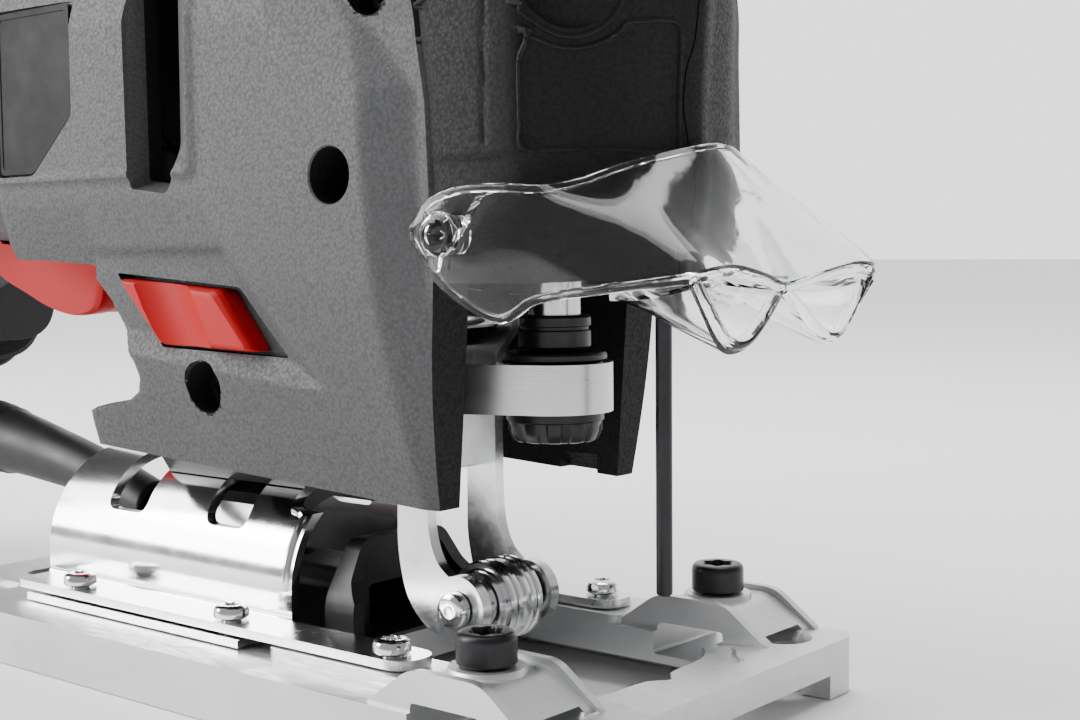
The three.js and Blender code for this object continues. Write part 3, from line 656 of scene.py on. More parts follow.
@dataclass(frozen=True)
class WorkedMetal:
    """Metal with a machined, brushed, plated or blackened face.

    Attributes:
        name: The finish's name.
        colour: Reflected colour, linear.
        roughness: Mean roughness.
        stretch: Scale of the working marks along X, Y and Z, per metre; the marks run where it is small.
        mark_depth: Depth of the marks in millimetres.
        stain: How much the face is clouded, 0 to 1.
        metallic: Share of the face that is bare metal.
    """

    name: str
    colour: tuple[float, float, float]
    roughness: float = 0.3
    stretch: tuple[float, float, float] = (400.0, 400.0, 400.0)
    mark_depth: float = 0.01
    stain: float = 0.15
    metallic: float = 1.0

    def build(self) -> Material:
        """Makes the finish: working marks in bump and gloss, and clouding over the whole face."""
        material, tree = empty_material(self.name)
        place = tree.nodes.new("ShaderNodeTexCoord")
        place.label = "place on the metal"
        run = tree.nodes.new("ShaderNodeMapping")
        run.label = "run of the marks"
        run.inputs["Scale"].default_value = self.stretch
        marks = tree.nodes.new("ShaderNodeTexNoise")
        marks.label = "working marks"
        marks.inputs["Scale"].default_value = 8.0
        marks.inputs["Detail"].default_value = 5.0
        marks.inputs["Roughness"].default_value = 0.65
        bump = tree.nodes.new("ShaderNodeBump")
        bump.label = "marks cut in"
        bump.inputs["Strength"].default_value = 0.5
        bump.inputs["Distance"].default_value = self.mark_depth * 0.001
        cloud = tree.nodes.new("ShaderNodeTexNoise")
        cloud.label = "clouding"
        cloud.inputs["Scale"].default_value = 95.0
        cloud.inputs["Detail"].default_value = 7.0
        cloud.inputs["Roughness"].default_value = 0.62
        tone = tree.nodes.new("ShaderNodeValToRGB")
        tone.label = "metal colour"
        tone.color_ramp.elements[0].position = 0.36
        tone.color_ramp.elements[1].position = 0.66
        tone.color_ramp.elements[0].color = (*[(1 - self.stain) * c for c in self.colour], 1)
        tone.color_ramp.elements[1].color = (*self.colour, 1)
        worn = tree.nodes.new("ShaderNodeMath")
        worn.label = "marks and clouding together"
        worn.operation = "ADD"
        gloss = tree.nodes.new("ShaderNodeMapRange")
        gloss.label = "gloss broken by marks"
        gloss.inputs["From Min"].default_value = 0.6
        gloss.inputs["From Max"].default_value = 1.4
        gloss.inputs["To Min"].default_value = max(0.02, self.roughness * 0.65)
        gloss.inputs["To Max"].default_value = self.roughness * 1.4
        surface = tree.nodes.new("ShaderNodeBsdfPrincipled")
        surface.label = "worked metal"
        surface.inputs["Metallic"].default_value = self.metallic
        out = tree.nodes.new("ShaderNodeOutputMaterial")
        link = tree.links.new
        link(place.outputs["Object"], run.inputs["Vector"])
        link(run.outputs["Vector"], marks.inputs["Vector"])
        link(place.outputs["Object"], cloud.inputs["Vector"])
        link(marks.outputs["Fac"], bump.inputs["Height"])
        link(cloud.outputs["Fac"], tone.inputs["Fac"])
        link(marks.outputs["Fac"], worn.inputs[0])
        link(cloud.outputs["Fac"], worn.inputs[1])
        link(worn.outputs[0], gloss.inputs["Value"])
        link(tone.outputs["Color"], surface.inputs["Base Color"])
        link(gloss.outputs["Result"], surface.inputs["Roughness"])
        link(bump.outputs["Normal"], surface.inputs["Normal"])
        link(surface.outputs["BSDF"], out.inputs["Surface"])
        lay_out(tree, {"Place": [place, run], "Marks": [marks, bump], "Clouding": [cloud, tone],
                       "Gloss": [worn, gloss], "Surface": [surface, out]})
        return material


@dataclass(frozen=True)
class CastMetal:
    """Die-cast metal: satin skin, shallow pits and a slanting machining lay.

    Attributes:
        name: The finish's name.
        colour: Reflected colour, linear.
        roughness: Mean roughness.
        pit_depth: Depth of the casting's pits in millimetres.
    """

    name: str
    colour: tuple[float, float, float]
    roughness: float = 0.42
    pit_depth: float = 0.02

    def build(self) -> Material:
        """Makes the finish: pits and a slanting lay in the bump, soft clouds in colour and gloss."""
        material, tree = empty_material(self.name)
        place = tree.nodes.new("ShaderNodeTexCoord")
        place.label = "place on the casting"
        slant = tree.nodes.new("ShaderNodeMapping")
        slant.label = "slant of the lay"
        slant.inputs["Rotation"].default_value = (math.radians(38.0), 0.0, math.radians(52.0))
        slant.inputs["Scale"].default_value = (260.0, 2600.0, 2600.0)
        lay = tree.nodes.new("ShaderNodeTexNoise")
        lay.label = "machining lay"
        lay.inputs["Scale"].default_value = 1.0
        lay.inputs["Detail"].default_value = 4.0
        skin = tree.nodes.new("ShaderNodeTexNoise")
        skin.label = "casting skin"
        skin.inputs["Scale"].default_value = 1400.0
        skin.inputs["Detail"].default_value = 5.0
        pits = tree.nodes.new("ShaderNodeTexVoronoi")
        pits.label = "pits"
        pits.inputs["Scale"].default_value = 420.0
        deep = tree.nodes.new("ShaderNodeMapRange")
        deep.label = "only the middle of a pit is deep"
        deep.inputs["From Max"].default_value = 0.16
        rough_skin = tree.nodes.new("ShaderNodeMath")
        rough_skin.label = "skin on the lay"
        rough_skin.operation = "ADD"
        height = tree.nodes.new("ShaderNodeMath")
        height.label = "all the relief"
        height.operation = "ADD"
        bump = tree.nodes.new("ShaderNodeBump")
        bump.label = "relief"
        bump.inputs["Strength"].default_value = 0.32
        bump.inputs["Distance"].default_value = self.pit_depth * 0.001
        cloud = tree.nodes.new("ShaderNodeTexNoise")
        cloud.label = "soft clouds"
        cloud.inputs["Scale"].default_value = 45.0
        cloud.inputs["Detail"].default_value = 6.0
        tone = tree.nodes.new("ShaderNodeValToRGB")
        tone.label = "casting colour"
        tone.color_ramp.elements[0].position = 0.32
        tone.color_ramp.elements[1].position = 0.72
        tone.color_ramp.elements[0].color = (*[0.84 * c for c in self.colour], 1)
        tone.color_ramp.elements[1].color = (*[min(1.0, 1.06 * c) for c in self.colour], 1)
        gloss = tree.nodes.new("ShaderNodeMapRange")
        gloss.label = "gloss along the lay"
        gloss.inputs["From Min"].default_value = 0.3
        gloss.inputs["From Max"].default_value = 0.7
        gloss.inputs["To Min"].default_value = self.roughness - 0.1
        gloss.inputs["To Max"].default_value = self.roughness + 0.12
        surface = tree.nodes.new("ShaderNodeBsdfPrincipled")
        surface.label = "cast metal"
        surface.inputs["Metallic"].default_value = 0.92
        out = tree.nodes.new("ShaderNodeOutputMaterial")
        link = tree.links.new
        link(place.outputs["Object"], slant.inputs["Vector"])
        link(slant.outputs["Vector"], lay.inputs["Vector"])
        for texture in (skin, pits, cloud):
            link(place.outputs["Object"], texture.inputs["Vector"])
        link(pits.outputs["Distance"], deep.inputs["Value"])
        link(skin.outputs["Fac"], rough_skin.inputs[0])
        link(lay.outputs["Fac"], rough_skin.inputs[1])
        link(rough_skin.outputs[0], height.inputs[0])
        link(deep.outputs["Result"], height.inputs[1])
        link(height.outputs[0], bump.inputs["Height"])
        link(cloud.outputs["Fac"], tone.inputs["Fac"])
        link(lay.outputs["Fac"], gloss.inputs["Value"])
        link(tone.outputs["Color"], surface.inputs["Base Color"])
        link(gloss.outputs["Result"], surface.inputs["Roughness"])
        link(bump.outputs["Normal"], surface.inputs["Normal"])
        link(surface.outputs["BSDF"], out.inputs["Surface"])
        lay_out(tree, {"Place": [place, slant], "Relief": [lay, skin, pits, deep, rough_skin, height, bump],
                       "Colour": [cloud, tone], "Gloss": [gloss], "Surface": [surface, out]})
        return material


@dataclass(frozen=True)
class ClearSheet:
    """Clear moulded sheet with faint flow lines.

    Attributes:
        name: The finish's name.
        tint: Colour of the sheet, linear.
        roughness: Roughness of its faces.
    """

    name: str
    tint: tuple[float, float, float] = (0.97, 0.98, 0.985)
    roughness: float = 0.03

    def build(self) -> Material:
        """Makes the finish: clear through, with flow lines in the bump and a haze of fine scuffs."""
        material, tree = empty_material(self.name)
        place = tree.nodes.new("ShaderNodeTexCoord")
        place.label = "place on the sheet"
        flow = tree.nodes.new("ShaderNodeTexNoise")
        flow.label = "flow lines"
        flow.inputs["Scale"].default_value = 70.0
        flow.inputs["Detail"].default_value = 2.0
        flow.inputs["Distortion"].default_value = 1.2
        bump = tree.nodes.new("ShaderNodeBump")
        bump.label = "ripple of the sheet"
        bump.inputs["Strength"].default_value = 0.35
        bump.inputs["Distance"].default_value = 0.0002
        scuffs = tree.nodes.new("ShaderNodeTexNoise")
        scuffs.label = "fine scuffs"
        scuffs.inputs["Scale"].default_value = 1500.0
        scuffs.inputs["Detail"].default_value = 6.0
        haze = tree.nodes.new("ShaderNodeMapRange")
        haze.label = "haze where it is scuffed"
        haze.inputs["From Min"].default_value = 0.45
        haze.inputs["From Max"].default_value = 0.8
        haze.inputs["To Min"].default_value = self.roughness
        haze.inputs["To Max"].default_value = self.roughness + 0.14
        surface = tree.nodes.new("ShaderNodeBsdfPrincipled")
        surface.label = "clear sheet"
        surface.inputs["Base Color"].default_value = (*self.tint, 1)
        surface.inputs["Transmission Weight"].default_value = 1.0
        surface.inputs["IOR"].default_value = 1.3
        out = tree.nodes.new("ShaderNodeOutputMaterial")
        link = tree.links.new
        link(place.outputs["Object"], flow.inputs["Vector"])
        link(place.outputs["Object"], scuffs.inputs["Vector"])
        link(flow.outputs["Fac"], bump.inputs["Height"])
        link(scuffs.outputs["Fac"], haze.inputs["Value"])
        link(haze.outputs["Result"], surface.inputs["Roughness"])
        link(bump.outputs["Normal"], surface.inputs["Normal"])
        link(surface.outputs["BSDF"], out.inputs["Surface"])
        lay_out(tree, {"Place": [place], "Ripple": [flow, bump], "Scuffs": [scuffs, haze],
                       "Surface": [surface, out]})
        return material


@dataclass(frozen=True)
class Banded:
    """Work with regular bands: steel laminations, or the tracks of a circuit board.

    Attributes:
        name: The finish's name.
        low: Colour between the bands, linear.
        high: Colour of the bands, linear.
        pitch: Distance from band to band in millimetres.
        roughness: Mean roughness.
        metallic: Share of bare metal.
        wander: How much the bands wander, 0 for laminations.
    """

    name: str
    low: tuple[float, float, float]
    high: tuple[float, float, float]
    pitch: float = 0.8
    roughness: float = 0.4
    metallic: float = 1.0
    wander: float = 0.0

    def build(self) -> Material:
        """Makes the finish: bands along X in colour and relief, with spots of varnish in the gloss."""
        material, tree = empty_material(self.name)
        place = tree.nodes.new("ShaderNodeTexCoord")
        place.label = "place on the work"
        bands = tree.nodes.new("ShaderNodeTexWave")
        bands.label = "bands"
        bands.bands_direction = "X"
        bands.inputs["Scale"].default_value = 314.0 / self.pitch
        bands.inputs["Distortion"].default_value = self.wander
        edge = tree.nodes.new("ShaderNodeValToRGB")
        edge.label = "band and gap"
        edge.color_ramp.elements[0].position = 0.25
        edge.color_ramp.elements[1].position = 0.45
        edge.color_ramp.elements[0].color = (*self.low, 1)
        edge.color_ramp.elements[1].color = (*self.high, 1)
        bump = tree.nodes.new("ShaderNodeBump")
        bump.label = "gaps cut in"
        bump.inputs["Strength"].default_value = 0.6
        bump.inputs["Distance"].default_value = 0.00006
        varnish = tree.nodes.new("ShaderNodeTexNoise")
        varnish.label = "varnish"
        varnish.inputs["Scale"].default_value = 240.0
        gloss = tree.nodes.new("ShaderNodeMapRange")
        gloss.label = "gloss of the varnish"
        gloss.inputs["To Min"].default_value = self.roughness - 0.15
        gloss.inputs["To Max"].default_value = self.roughness + 0.2
        surface = tree.nodes.new("ShaderNodeBsdfPrincipled")
        surface.label = "banded work"
        surface.inputs["Metallic"].default_value = self.metallic
        out = tree.nodes.new("ShaderNodeOutputMaterial")
        link = tree.links.new
        link(place.outputs["Object"], bands.inputs["Vector"])
        link(place.outputs["Object"], varnish.inputs["Vector"])
        link(bands.outputs["Fac"], edge.inputs["Fac"])
        link(bands.outputs["Fac"], bump.inputs["Height"])
        link(varnish.outputs["Fac"], gloss.inputs["Value"])
        link(edge.outputs["Color"], surface.inputs["Base Color"])
        link(gloss.outputs["Result"], surface.inputs["Roughness"])
        link(bump.outputs["Normal"], surface.inputs["Normal"])
        link(surface.outputs["BSDF"], out.inputs["Surface"])
        lay_out(tree, {"Place": [place], "Bands": [bands, edge, bump], "Varnish": [varnish, gloss],
                       "Surface": [surface, out]})
        return material


@dataclass
class Finishes:
    """All the finishes of the tool, made once and shared by its pieces."""

    shell: Material = field(default_factory=lambda: GrainedPlastic(
        "shell_grain", (0.078, 0.079, 0.081), 0.5).build())
    nose: Material = field(default_factory=lambda: GrainedPlastic(
        "nose_grain", (0.011, 0.011, 0.0115), 0.55, shine=0.16).build())
    black: Material = field(default_factory=lambda: SmoothPlastic(
        "black_moulding", (0.012, 0.012, 0.012), 0.42).build())
    blank: Material = field(default_factory=lambda: SmoothPlastic(
        "blank_badge", (0.004, 0.004, 0.0045), 0.5, shine=0.15).build())
    red: Material = field(default_factory=lambda: SmoothPlastic(
        "red_moulding", (0.38, 0.001, 0.002), 0.45, shine=0.22).build())
    casting: Material = field(default_factory=lambda: CastMetal(
        "satin_casting", (0.66, 0.665, 0.67), 0.4).build())
    plated: Material = field(default_factory=lambda: WorkedMetal(
        "bright_plating", (0.86, 0.865, 0.87), 0.13, (60.0, 60.0, 60.0), 0.012, 0.1).build())
    zinc: Material = field(default_factory=lambda: WorkedMetal(
        "zinc_plating", (0.78, 0.785, 0.79), 0.22, (90.0, 90.0, 90.0), 0.03, 0.22).build())
    ground: Material = field(default_factory=lambda: WorkedMetal(
        "ground_steel", (0.72, 0.72, 0.73), 0.18, (300.0, 300.0, 12.0), 0.008, 0.12).build())
    brushed: Material = field(default_factory=lambda: WorkedMetal(
        "brushed_band", (0.62, 0.61, 0.6), 0.3, (20.0, 20.0, 700.0), 0.02, 0.12).build())
    oxide: Material = field(default_factory=lambda: WorkedMetal(
        "black_oxide", (0.028, 0.028, 0.03), 0.34, (200.0, 200.0, 200.0), 0.02, 0.4, 0.75).build())
    bronze: Material = field(default_factory=lambda: WorkedMetal(
        "bush_bronze", (0.62, 0.42, 0.18), 0.34, (20.0, 20.0, 400.0), 0.015, 0.25).build())
    laminated: Material = field(default_factory=lambda: Banded(
        "laminated_steel", (0.02, 0.02, 0.02), (0.25, 0.25, 0.26)).build())
    board: Material = field(default_factory=lambda: Banded(
        "circuit_board", (0.01, 0.05, 0.02), (0.03, 0.16, 0.06), 2.4, 0.35, 0.0, 9.0).build())
    clear: Material = field(default_factory=lambda: ClearSheet("clear_sheet").build())


# ---------------------------------------------------------------- base
@dataclass
class BasePlate:
    """Cast base: plate with two runners, guide-bar bosses and a blade window. Sizes in millimetres."""

    length: float = 160.0
    half_width: float = 37.7
    thick: float = 8.75
    runner: float = 8.7
    channel: float = 3.75
    window_half: float = 19.0
    window: tuple[float, float] = (-57.0, -12.5)
    screw_x: float = -20.3
    screw_y: float = 28.4
    boss_top: float = 5.1
    slot: tuple[float, float, float, float] = (-26.5, -14.1, -3.6, 1.4)
    strip_y: float = 25.2
    strip_x: tuple[float, float, float] = (-41.4, -77.2, -118.0)

    def boss(self, side: Side, datum: Datum) -> list[Piece]:
        """Makes the solids of one guide-bar boss: the sloping saddle, its two thin rims and the collar.

        Args:
            side: The side of the tool.
            datum: Where the maker's datum is in the model.

        Returns:
            Solids to join to the plate.
        """
        def saddle(grow: float) -> Array:
            """Trapezoid of the boss seen from the side, grown by some millimetres."""
            x, top = self.screw_x, self.boss_top
            return rounded([(x - 13.7 - grow, -1), (x - 13.7 - grow, 0.2), (x - 5.6 - grow, top + grow),
                            (x + 5.4 + grow, top + grow), (x + 13.1 + grow, 0.2), (x + 13.1 + grow, -1)],
                           [0.1, 1.0, 2.0, 2.0, 1.0, 0.1])
        spans = {"saddle": (20.2, 37.0, 0.0), "rim_in": (20.2, 21.6, 0.8), "rim_out": (35.6, 37.0, 0.8)}
        made = []
        for name, (near, far, grow) in spans.items():
            low, high = side.span(near, far)
            made.append(prism(f"{name}_{side.word}", saddle(grow), Axis.Y, low, high, datum))
        made.append(turned(f"collar_{side.word}", [(0, 0), (6.4, 0), (5.5, 5.1), (5.3, 5.7), (0, 5.7)],
                           Axis.Z,
                           (self.screw_x, side.value * self.screw_y), datum, 48))
        return made

    def build(self, finishes: Finishes, datum: Datum) -> None:
        """Casts the plate, cuts its openings and rounds its edges."""
        outline = rounded_box((-self.length, 0), (-self.half_width, self.half_width), 4.0)
        plate = prism("base_plate_casting", outline, Axis.Z, -self.thick, 0, datum)
        adds, cuts = [], []
        for side in Side:
            adds += self.boss(side, datum)
            low, high = side.span(self.window_half, 29.6)
            adds.append(prism(f"pad_{side.word}", rounded_box((-64.2, -33.5), (low, high), 2.5), Axis.Z, -1,
                              1.5,
                              datum))
            x0, x1, z0, z1 = self.slot
            span = side.span(self.window_half - 1, self.half_width + 1)
            cuts.append(prism(f"slot_{side.word}", rounded_box((x0, x1), (z0, z1), 0.7, 4), Axis.Y, *span,
                              datum))
            cuts.append(turned(f"front_hole_{side.word}",
                               [(0, -10), (3, -10), (3, -1.4), (5.0, 0.3), (5.0, 1),
                                (0, 1)], Axis.Z, (-8.2, side.value * 28.5), datum))
            cuts.append(rod(f"clamp_hole_{side.word}", Axis.Z, 2.8, 0, 8,
                            (self.screw_x, side.value * self.screw_y), datum))
            for number, x in enumerate(self.strip_x):
                cuts.append(rod(f"strip_hole_{side.word}_{number}", Axis.Z, 1.8, -4, 2,
                                (x, side.value * self.strip_y), datum, 24))
            tray = side.span(22.0, 34.6)
            cuts.append(prism(f"side_tray_{side.word}", rounded_box((-152, -139.5), tray, 3), Axis.Z, -1.0, 1,
                              datum))
        edge = self.half_width - self.runner
        cuts.append(box("under_channel", (-self.length + 6, 1), (-edge, edge),
                        (-12, -self.thick + self.channel),
                        datum))
        opening = curve_through([(-57, -19), (-57, 0), (-57, 19), (-40, 19), (-24, 19), (-16.5, 18.0),
                                 (-13.0, 12.5), (-12.2, 4.0), (-11.2, 1.9), (-9.9, 0), (-11.2, -1.9),
                                 (-12.2, -4.0), (-13.0, -12.5), (-16.5, -18.0), (-24, -19), (-40, -19)],
                                128, closed=True)
        opening = np.clip(opening, (-57, -19), (0, 19))
        cuts.append(prism("blade_window", opening, Axis.Z, -12, 2, datum))
        step = rounded([(-32, -24), (-10.5, -24.5), (-7.2, -18.5), (-5.4, -18.0), (-5.4, 18.0), (-7.2, 18.5),
                        (-10.5, 24.5), (-32, 24)], 1.5)
        cuts.append(prism("window_step", step * (1, 0.74), Axis.Z, -0.8, 1, datum))
        cuts.append(rod("dust_bore", Axis.Z, 4, -12, 1, (-90, 0), datum))
        cuts.append(prism("dust_tray", rounded_box((-150, -59), (-16.5, 16.5), 3), Axis.Z, -2.2, 1, datum))
        shape_with(plate, adds, "UNION")
        shape_with(plate, cuts, "DIFFERENCE")
        soften(plate, 0.45)
        fit_out(plate, finishes.casting, "base", "base_plate", "base_plate")


def torx(segments: int, depth: float = 0.16) -> Array:
    """Six-lobed factor on a radius round a circle: 1 + depth cos 6a."""
    return 1 + depth * np.cos(6 * np.linspace(0, 2 * np.pi, segments, endpoint=False))


@dataclass
class BaseHardware:
    """Plated strips and screws that hold the bracket, and the two guide-bar clamp screws."""

    plate: BasePlate = field(default_factory=BasePlate)
    strip_low: float = 1.8
    strip_thick: float = 1.4

    def strip(self, side: Side, finishes: Finishes, datum: Datum) -> None:
        """Makes the plated strip along one foot of the bracket, with a rounded front tip."""
        low, high = side.span(20.4, 28.5)
        outline = rounded([(-133, low), (-36, low), (-36, high), (-133, high)], [1.5, 4.4, 4.4, 1.5], 10)
        strip = prism(f"bracket_strip_{side.word}", outline, Axis.Z, self.strip_low,
                      self.strip_low + self.strip_thick, datum)
        holes = [rod(f"hole_{x}", Axis.Z, 1.9, 0, 5, (x, side.value * self.plate.strip_y), datum, 32)
                 for x in self.plate.strip_x]
        shape_with(strip, holes, "DIFFERENCE")
        soften(strip, 0.3, 2)
        fit_out(strip, finishes.zinc, "base", f"flange_strip_{side.word}", f"flange_strip_{side.word}")

    def small_screw(self, x: float, side: Side, place: str, finishes: Finishes, datum: Datum) -> None:
        """Makes a pan-head strip screw with a dished, slotted head."""
        seat = self.strip_low + self.strip_thick + 0.3
        profile = [(0, -3.6), (1.2, -3.6), (1.5, -3.2), (1.5, seat), (2.65, seat), (2.82, seat + 0.2),
                   (2.82, seat + 1.25), (2.62, seat + 1.7), (2.1, seat + 2.0), (1.6, seat + 2.08),
                   (1.25, seat + 2.0), (1.1, seat + 1.6), (1.0, seat + 0.9), (0, seat + 0.9)]
        key = torx(72, 0.2)
        screw = turned(f"strip_screw_{side.word}_{place}", profile, Axis.Z,
                       (x, side.value * self.plate.strip_y), datum, 72, key, (10, 11, 12))
        smoothed(screw, 35)
        node = f"flange_screw_{side.word}_{place}"
        fit_out(screw, finishes.plated, "base", node, node)

    def clamp_screw(self, side: Side, finishes: Finishes, datum: Datum) -> None:
        """Makes a black socket-head cap screw with a six-lobed socket."""
        seat, top = self.plate.boss_top + 0.9, self.plate.boss_top + 5.3
        profile = [(0, 1.8), (2.0, 1.8), (2.4, 2.3), (2.4, seat), (4.0, seat), (4.2, seat + 0.25),
                   (4.2, seat + 0.5), (4.2, top - 1.3), (4.2, top - 1.1), (4.18, top - 0.8),
                   (4.05, top - 0.35),
                   (3.7, top - 0.04), (3.1, top), (2.35, top), (2.15, top - 0.35), (2.1, top - 2.6),
                   (0, top - 2.6)]
        key = torx(144, 0.13)
        screw = turned(f"guide_screw_{side.word}", profile, Axis.Z,
                       (self.plate.screw_x, side.value * self.plate.screw_y), datum, 144, key, (13, 14, 15))
        smoothed(screw, 38)
        node = f"guide_clamp_screw_{side.word}"
        fit_out(screw, finishes.oxide, "base", node, node)

    def build(self, finishes: Finishes, datum: Datum) -> None:
        """Makes both strips and all eight screws."""
        for side in Side:
            self.strip(side, finishes, datum)
            for x, place in zip(self.plate.strip_x, ("front", "middle", "rear")):
                self.small_screw(x, side, place, finishes, datum)
            self.clamp_screw(side, finishes, datum)


@dataclass
class BevelBracket:
    """Bright half-cylinder that the body tilts on, bent from sheet with its two feet."""

    axis_height: float = 6.4
    radius: float = 18.4
    wall: float = 1.6
    rear: float = -137.4
    front: float = -70.6

    def section(self) -> Array:
        """Outline across the sheet: foot, bend, half circle, bend and foot, then back along the inside."""
        angle = np.linspace(-np.pi / 2, np.pi / 2, 97)
        outer = np.stack([self.radius * np.sin(angle), self.axis_height + self.radius * np.cos(angle)], 1)
        inner_radius = self.radius - self.wall
        inner = np.stack([inner_radius * np.sin(angle[::-1]),
                          self.axis_height + inner_radius * np.cos(angle[::-1])], 1)
        bend = np.linspace(0, np.pi / 2, 9)
        foot_out = np.stack([-self.radius - 1.7 + 1.7 * np.cos(bend), 3.2 - 1.7 * np.sin(bend)], 1)
        foot_in = np.stack([-inner_radius - 2.2 + 2.2 * np.cos(bend), 2.5 - 2.2 * np.sin(bend)], 1)
        outer_left = [(-29.6, 0.3), (-29.6, 1.5), *foot_out[::-1]]
        inner_left = [*foot_in]
        mirror = np.array([-1.0, 1.0])
        outer_right = [tuple(np.array(p) * mirror) for p in foot_out] + [(29.6, 1.5), (29.6, 0.3)]
        inner_right = [tuple(np.array(p) * mirror) for p in foot_in[::-1]]
        return np.array([*outer_left, *outer, *outer_right, *inner_right, *inner, *inner_left])

    def leaning(self, low: float, rear: float, front: float, lean: float, radius: float) -> Array:
        """Side view of a slot that leans rearwards as it rises, with round lower corners."""
        return rounded([(rear, low), (front, low), (front - lean, 30), (rear - lean, 30)],
                       [radius, radius, 0.1, 0.1], 8)

    def build(self, finishes: Finishes, datum: Datum) -> None:
        """Bends the sheet, cuts its arc slots and front notch and lays a bead round the front edge."""
        section = self.section()
        shell = prism("bevel_bracket_shell", section, Axis.X, self.rear, self.front, datum)
        cuts = [
            prism("slot_rear", self.leaning(15.3, -122.4, -111.4, 3.2, 2.4), Axis.Y, -25, 25, datum),
            prism("slot_front", self.leaning(15.3, -95.0, -84.4, 3.2, 2.4), Axis.Y, -25, 25, datum),
            prism("front_notch", rounded([(-76.5, 19.0), (-60, 19.0), (-60, 30), (-78.5, 30)],
                                         [1.8, 0.1, 0.1, 0.1], 8), Axis.Y, -25, 25, datum),
        ]
        for side in Side:
            rear_foot = side.span(19.2, 31)
            cuts.append(prism(f"foot_end_{side.word}", rounded([(-138, rear_foot[0]), (-128, rear_foot[0]),
                        (-125.4, rear_foot[1]), (-138, rear_foot[1])], 0.8), Axis.Z, -1, 5, datum))
            for x in BasePlate.strip_x:
                cuts.append(rod(f"foot_hole_{side.word}_{x}", Axis.Z, 1.9, -1, 3,
                                (x, side.value * BasePlate.strip_y), datum, 32))
        shape_with(shell, cuts, "DIFFERENCE")
        soften(shell, 0.35, 2, 40)
        angle = np.radians(np.linspace(88, 49, 28))
        beads = []
        for side in Side:
            path = np.stack([np.full(len(angle), self.front - 1.5),
                             side.value * (self.radius + 0.05) * np.sin(angle),
                             self.axis_height + (self.radius + 0.05) * np.cos(angle)], 1)
            tip = np.array([[self.front - 2.6, side.value * 13.8, 18.9],
                            [self.front - 4.6, side.value * 13.3, 19.1]])
            beads.append(tube(f"bead_{side.word}", curve_through(np.concatenate([path, tip]), 48), 0.62,
                              datum))
        beads.append(shell)
        whole = join_meshes("bevel_bracket_plated", beads)
        fit_out(whole, finishes.plated, "base", "bevel_bracket", "bevel_bracket")


@dataclass
class DustPath:
    """Black duct on the plate and the tube that carries dust to the rear."""

    def channel(self, finishes: Finishes, datum: Datum) -> None:
        """Makes the duct with a hooded mouth behind the blade."""
        duct = prism("dust_duct",
                     rounded([(-8, -1.9), (8, -1.9), (8, 6.2), (5.6, 8.6), (-5.6, 8.6), (-8, 6.2)], 1.0),
                     Axis.X, -126, -61, datum)
        hood = rounded([(-15, -1.9), (15, -1.9), (15, 6), (9.4, 15), (-9.4, 15), (-15, 6)], 2.0)
        mouth = prism("hood", hood, Axis.X, -66.5, -60, datum)
        lip = prism("lip", hood, Axis.X, -61.4, -60, datum)
        shape_with(duct, [mouth, lip], "UNION")
        inside = rounded([(-12.6, -0.3), (12.6, -0.3), (12.6, 5.4), (8, 13.4), (-8, 13.4), (-12.6, 5.4)], 1.6)
        cuts = [prism("mouth_inside", inside, Axis.X, -65.2, -58, datum),
                prism("duct_inside", rounded_box((-6.4, 6.4), (-0.3, 7), 1.2), Axis.X, -127, -58, datum),
                rod("screw_access", Axis.Z, 3.4, -5, 12, (-90, 0), datum),
                prism("swept_front", rounded([(-59, 4.5), (-62.4, 9), (-63.5, 16), (-58, 16)], 0.6), Axis.Y,
                      -20, 20, datum)]
        shape_with(duct, cuts, "DIFFERENCE")
        soften(duct, 0.4, 2)
        fit_out(duct, finishes.black, "base", "dust_channel", "dust_channel")

    def tube(self, finishes: Finishes, datum: Datum) -> None:
        """Makes the tube: rings whose centre rises and bore widens rearwards, with hose ribs at the end."""
        place = np.linspace(-129, -190, 120)
        rise = np.interp(place, [-190, -184, -172, -155, -140, -129], [22.8, 22.6, 21.5, 19, 15.6, 12.5])
        rise = np.convolve(np.pad(rise, 6, "edge"), np.ones(13) / 13, "valid")
        radius = np.interp(place, [-190, -184, -172, -155, -140, -129], [7.9, 7.6, 6.6, 5.6, 5.4, 5.2])
        radius = np.convolve(np.pad(radius, 6, "edge"), np.ones(13) / 13, "valid")
        rib = 0.35 * np.clip(np.cos((place + 187.5) * 2 * np.pi / 3.2), 0, 1) * (place < -176)
        outer, inner = radius - 0.35 + rib, radius - 1.6
        angle = np.linspace(0, 2 * np.pi, 64, endpoint=False)
        reach = np.concatenate([outer, [outer[-1] - 0.4, inner[-1] + 0.4], inner[::-1],
                                [inner[0] + 0.4, outer[0] - 0.2]])
        x = np.concatenate([place, [-190.3, -190.3], place[::-1], [-128.7, -128.7]])
        z = np.concatenate([rise, [rise[-1]] * 2, rise[::-1], [rise[0]] * 2])
        rings = np.stack([np.broadcast_to(x[:, None], (len(x), 64)), -reach[:, None] * np.sin(angle),
                          z[:, None] + reach[:, None] * np.cos(angle)], -1)
        rings = np.concatenate([rings, rings[:1]])
        piece = make_piece("dust_tube_moulded", rings.reshape(-1, 3), grid_faces(len(rings), 64), datum)
        smoothed(piece, 40)
        fit_out(piece, finishes.black, "dust_tube", "dust_tube", "dust_tube")

    def build(self, finishes: Finishes, datum: Datum) -> None:
        """Makes the duct and the tube."""
        self.channel(finishes, datum)
        self.tube(finishes, datum)


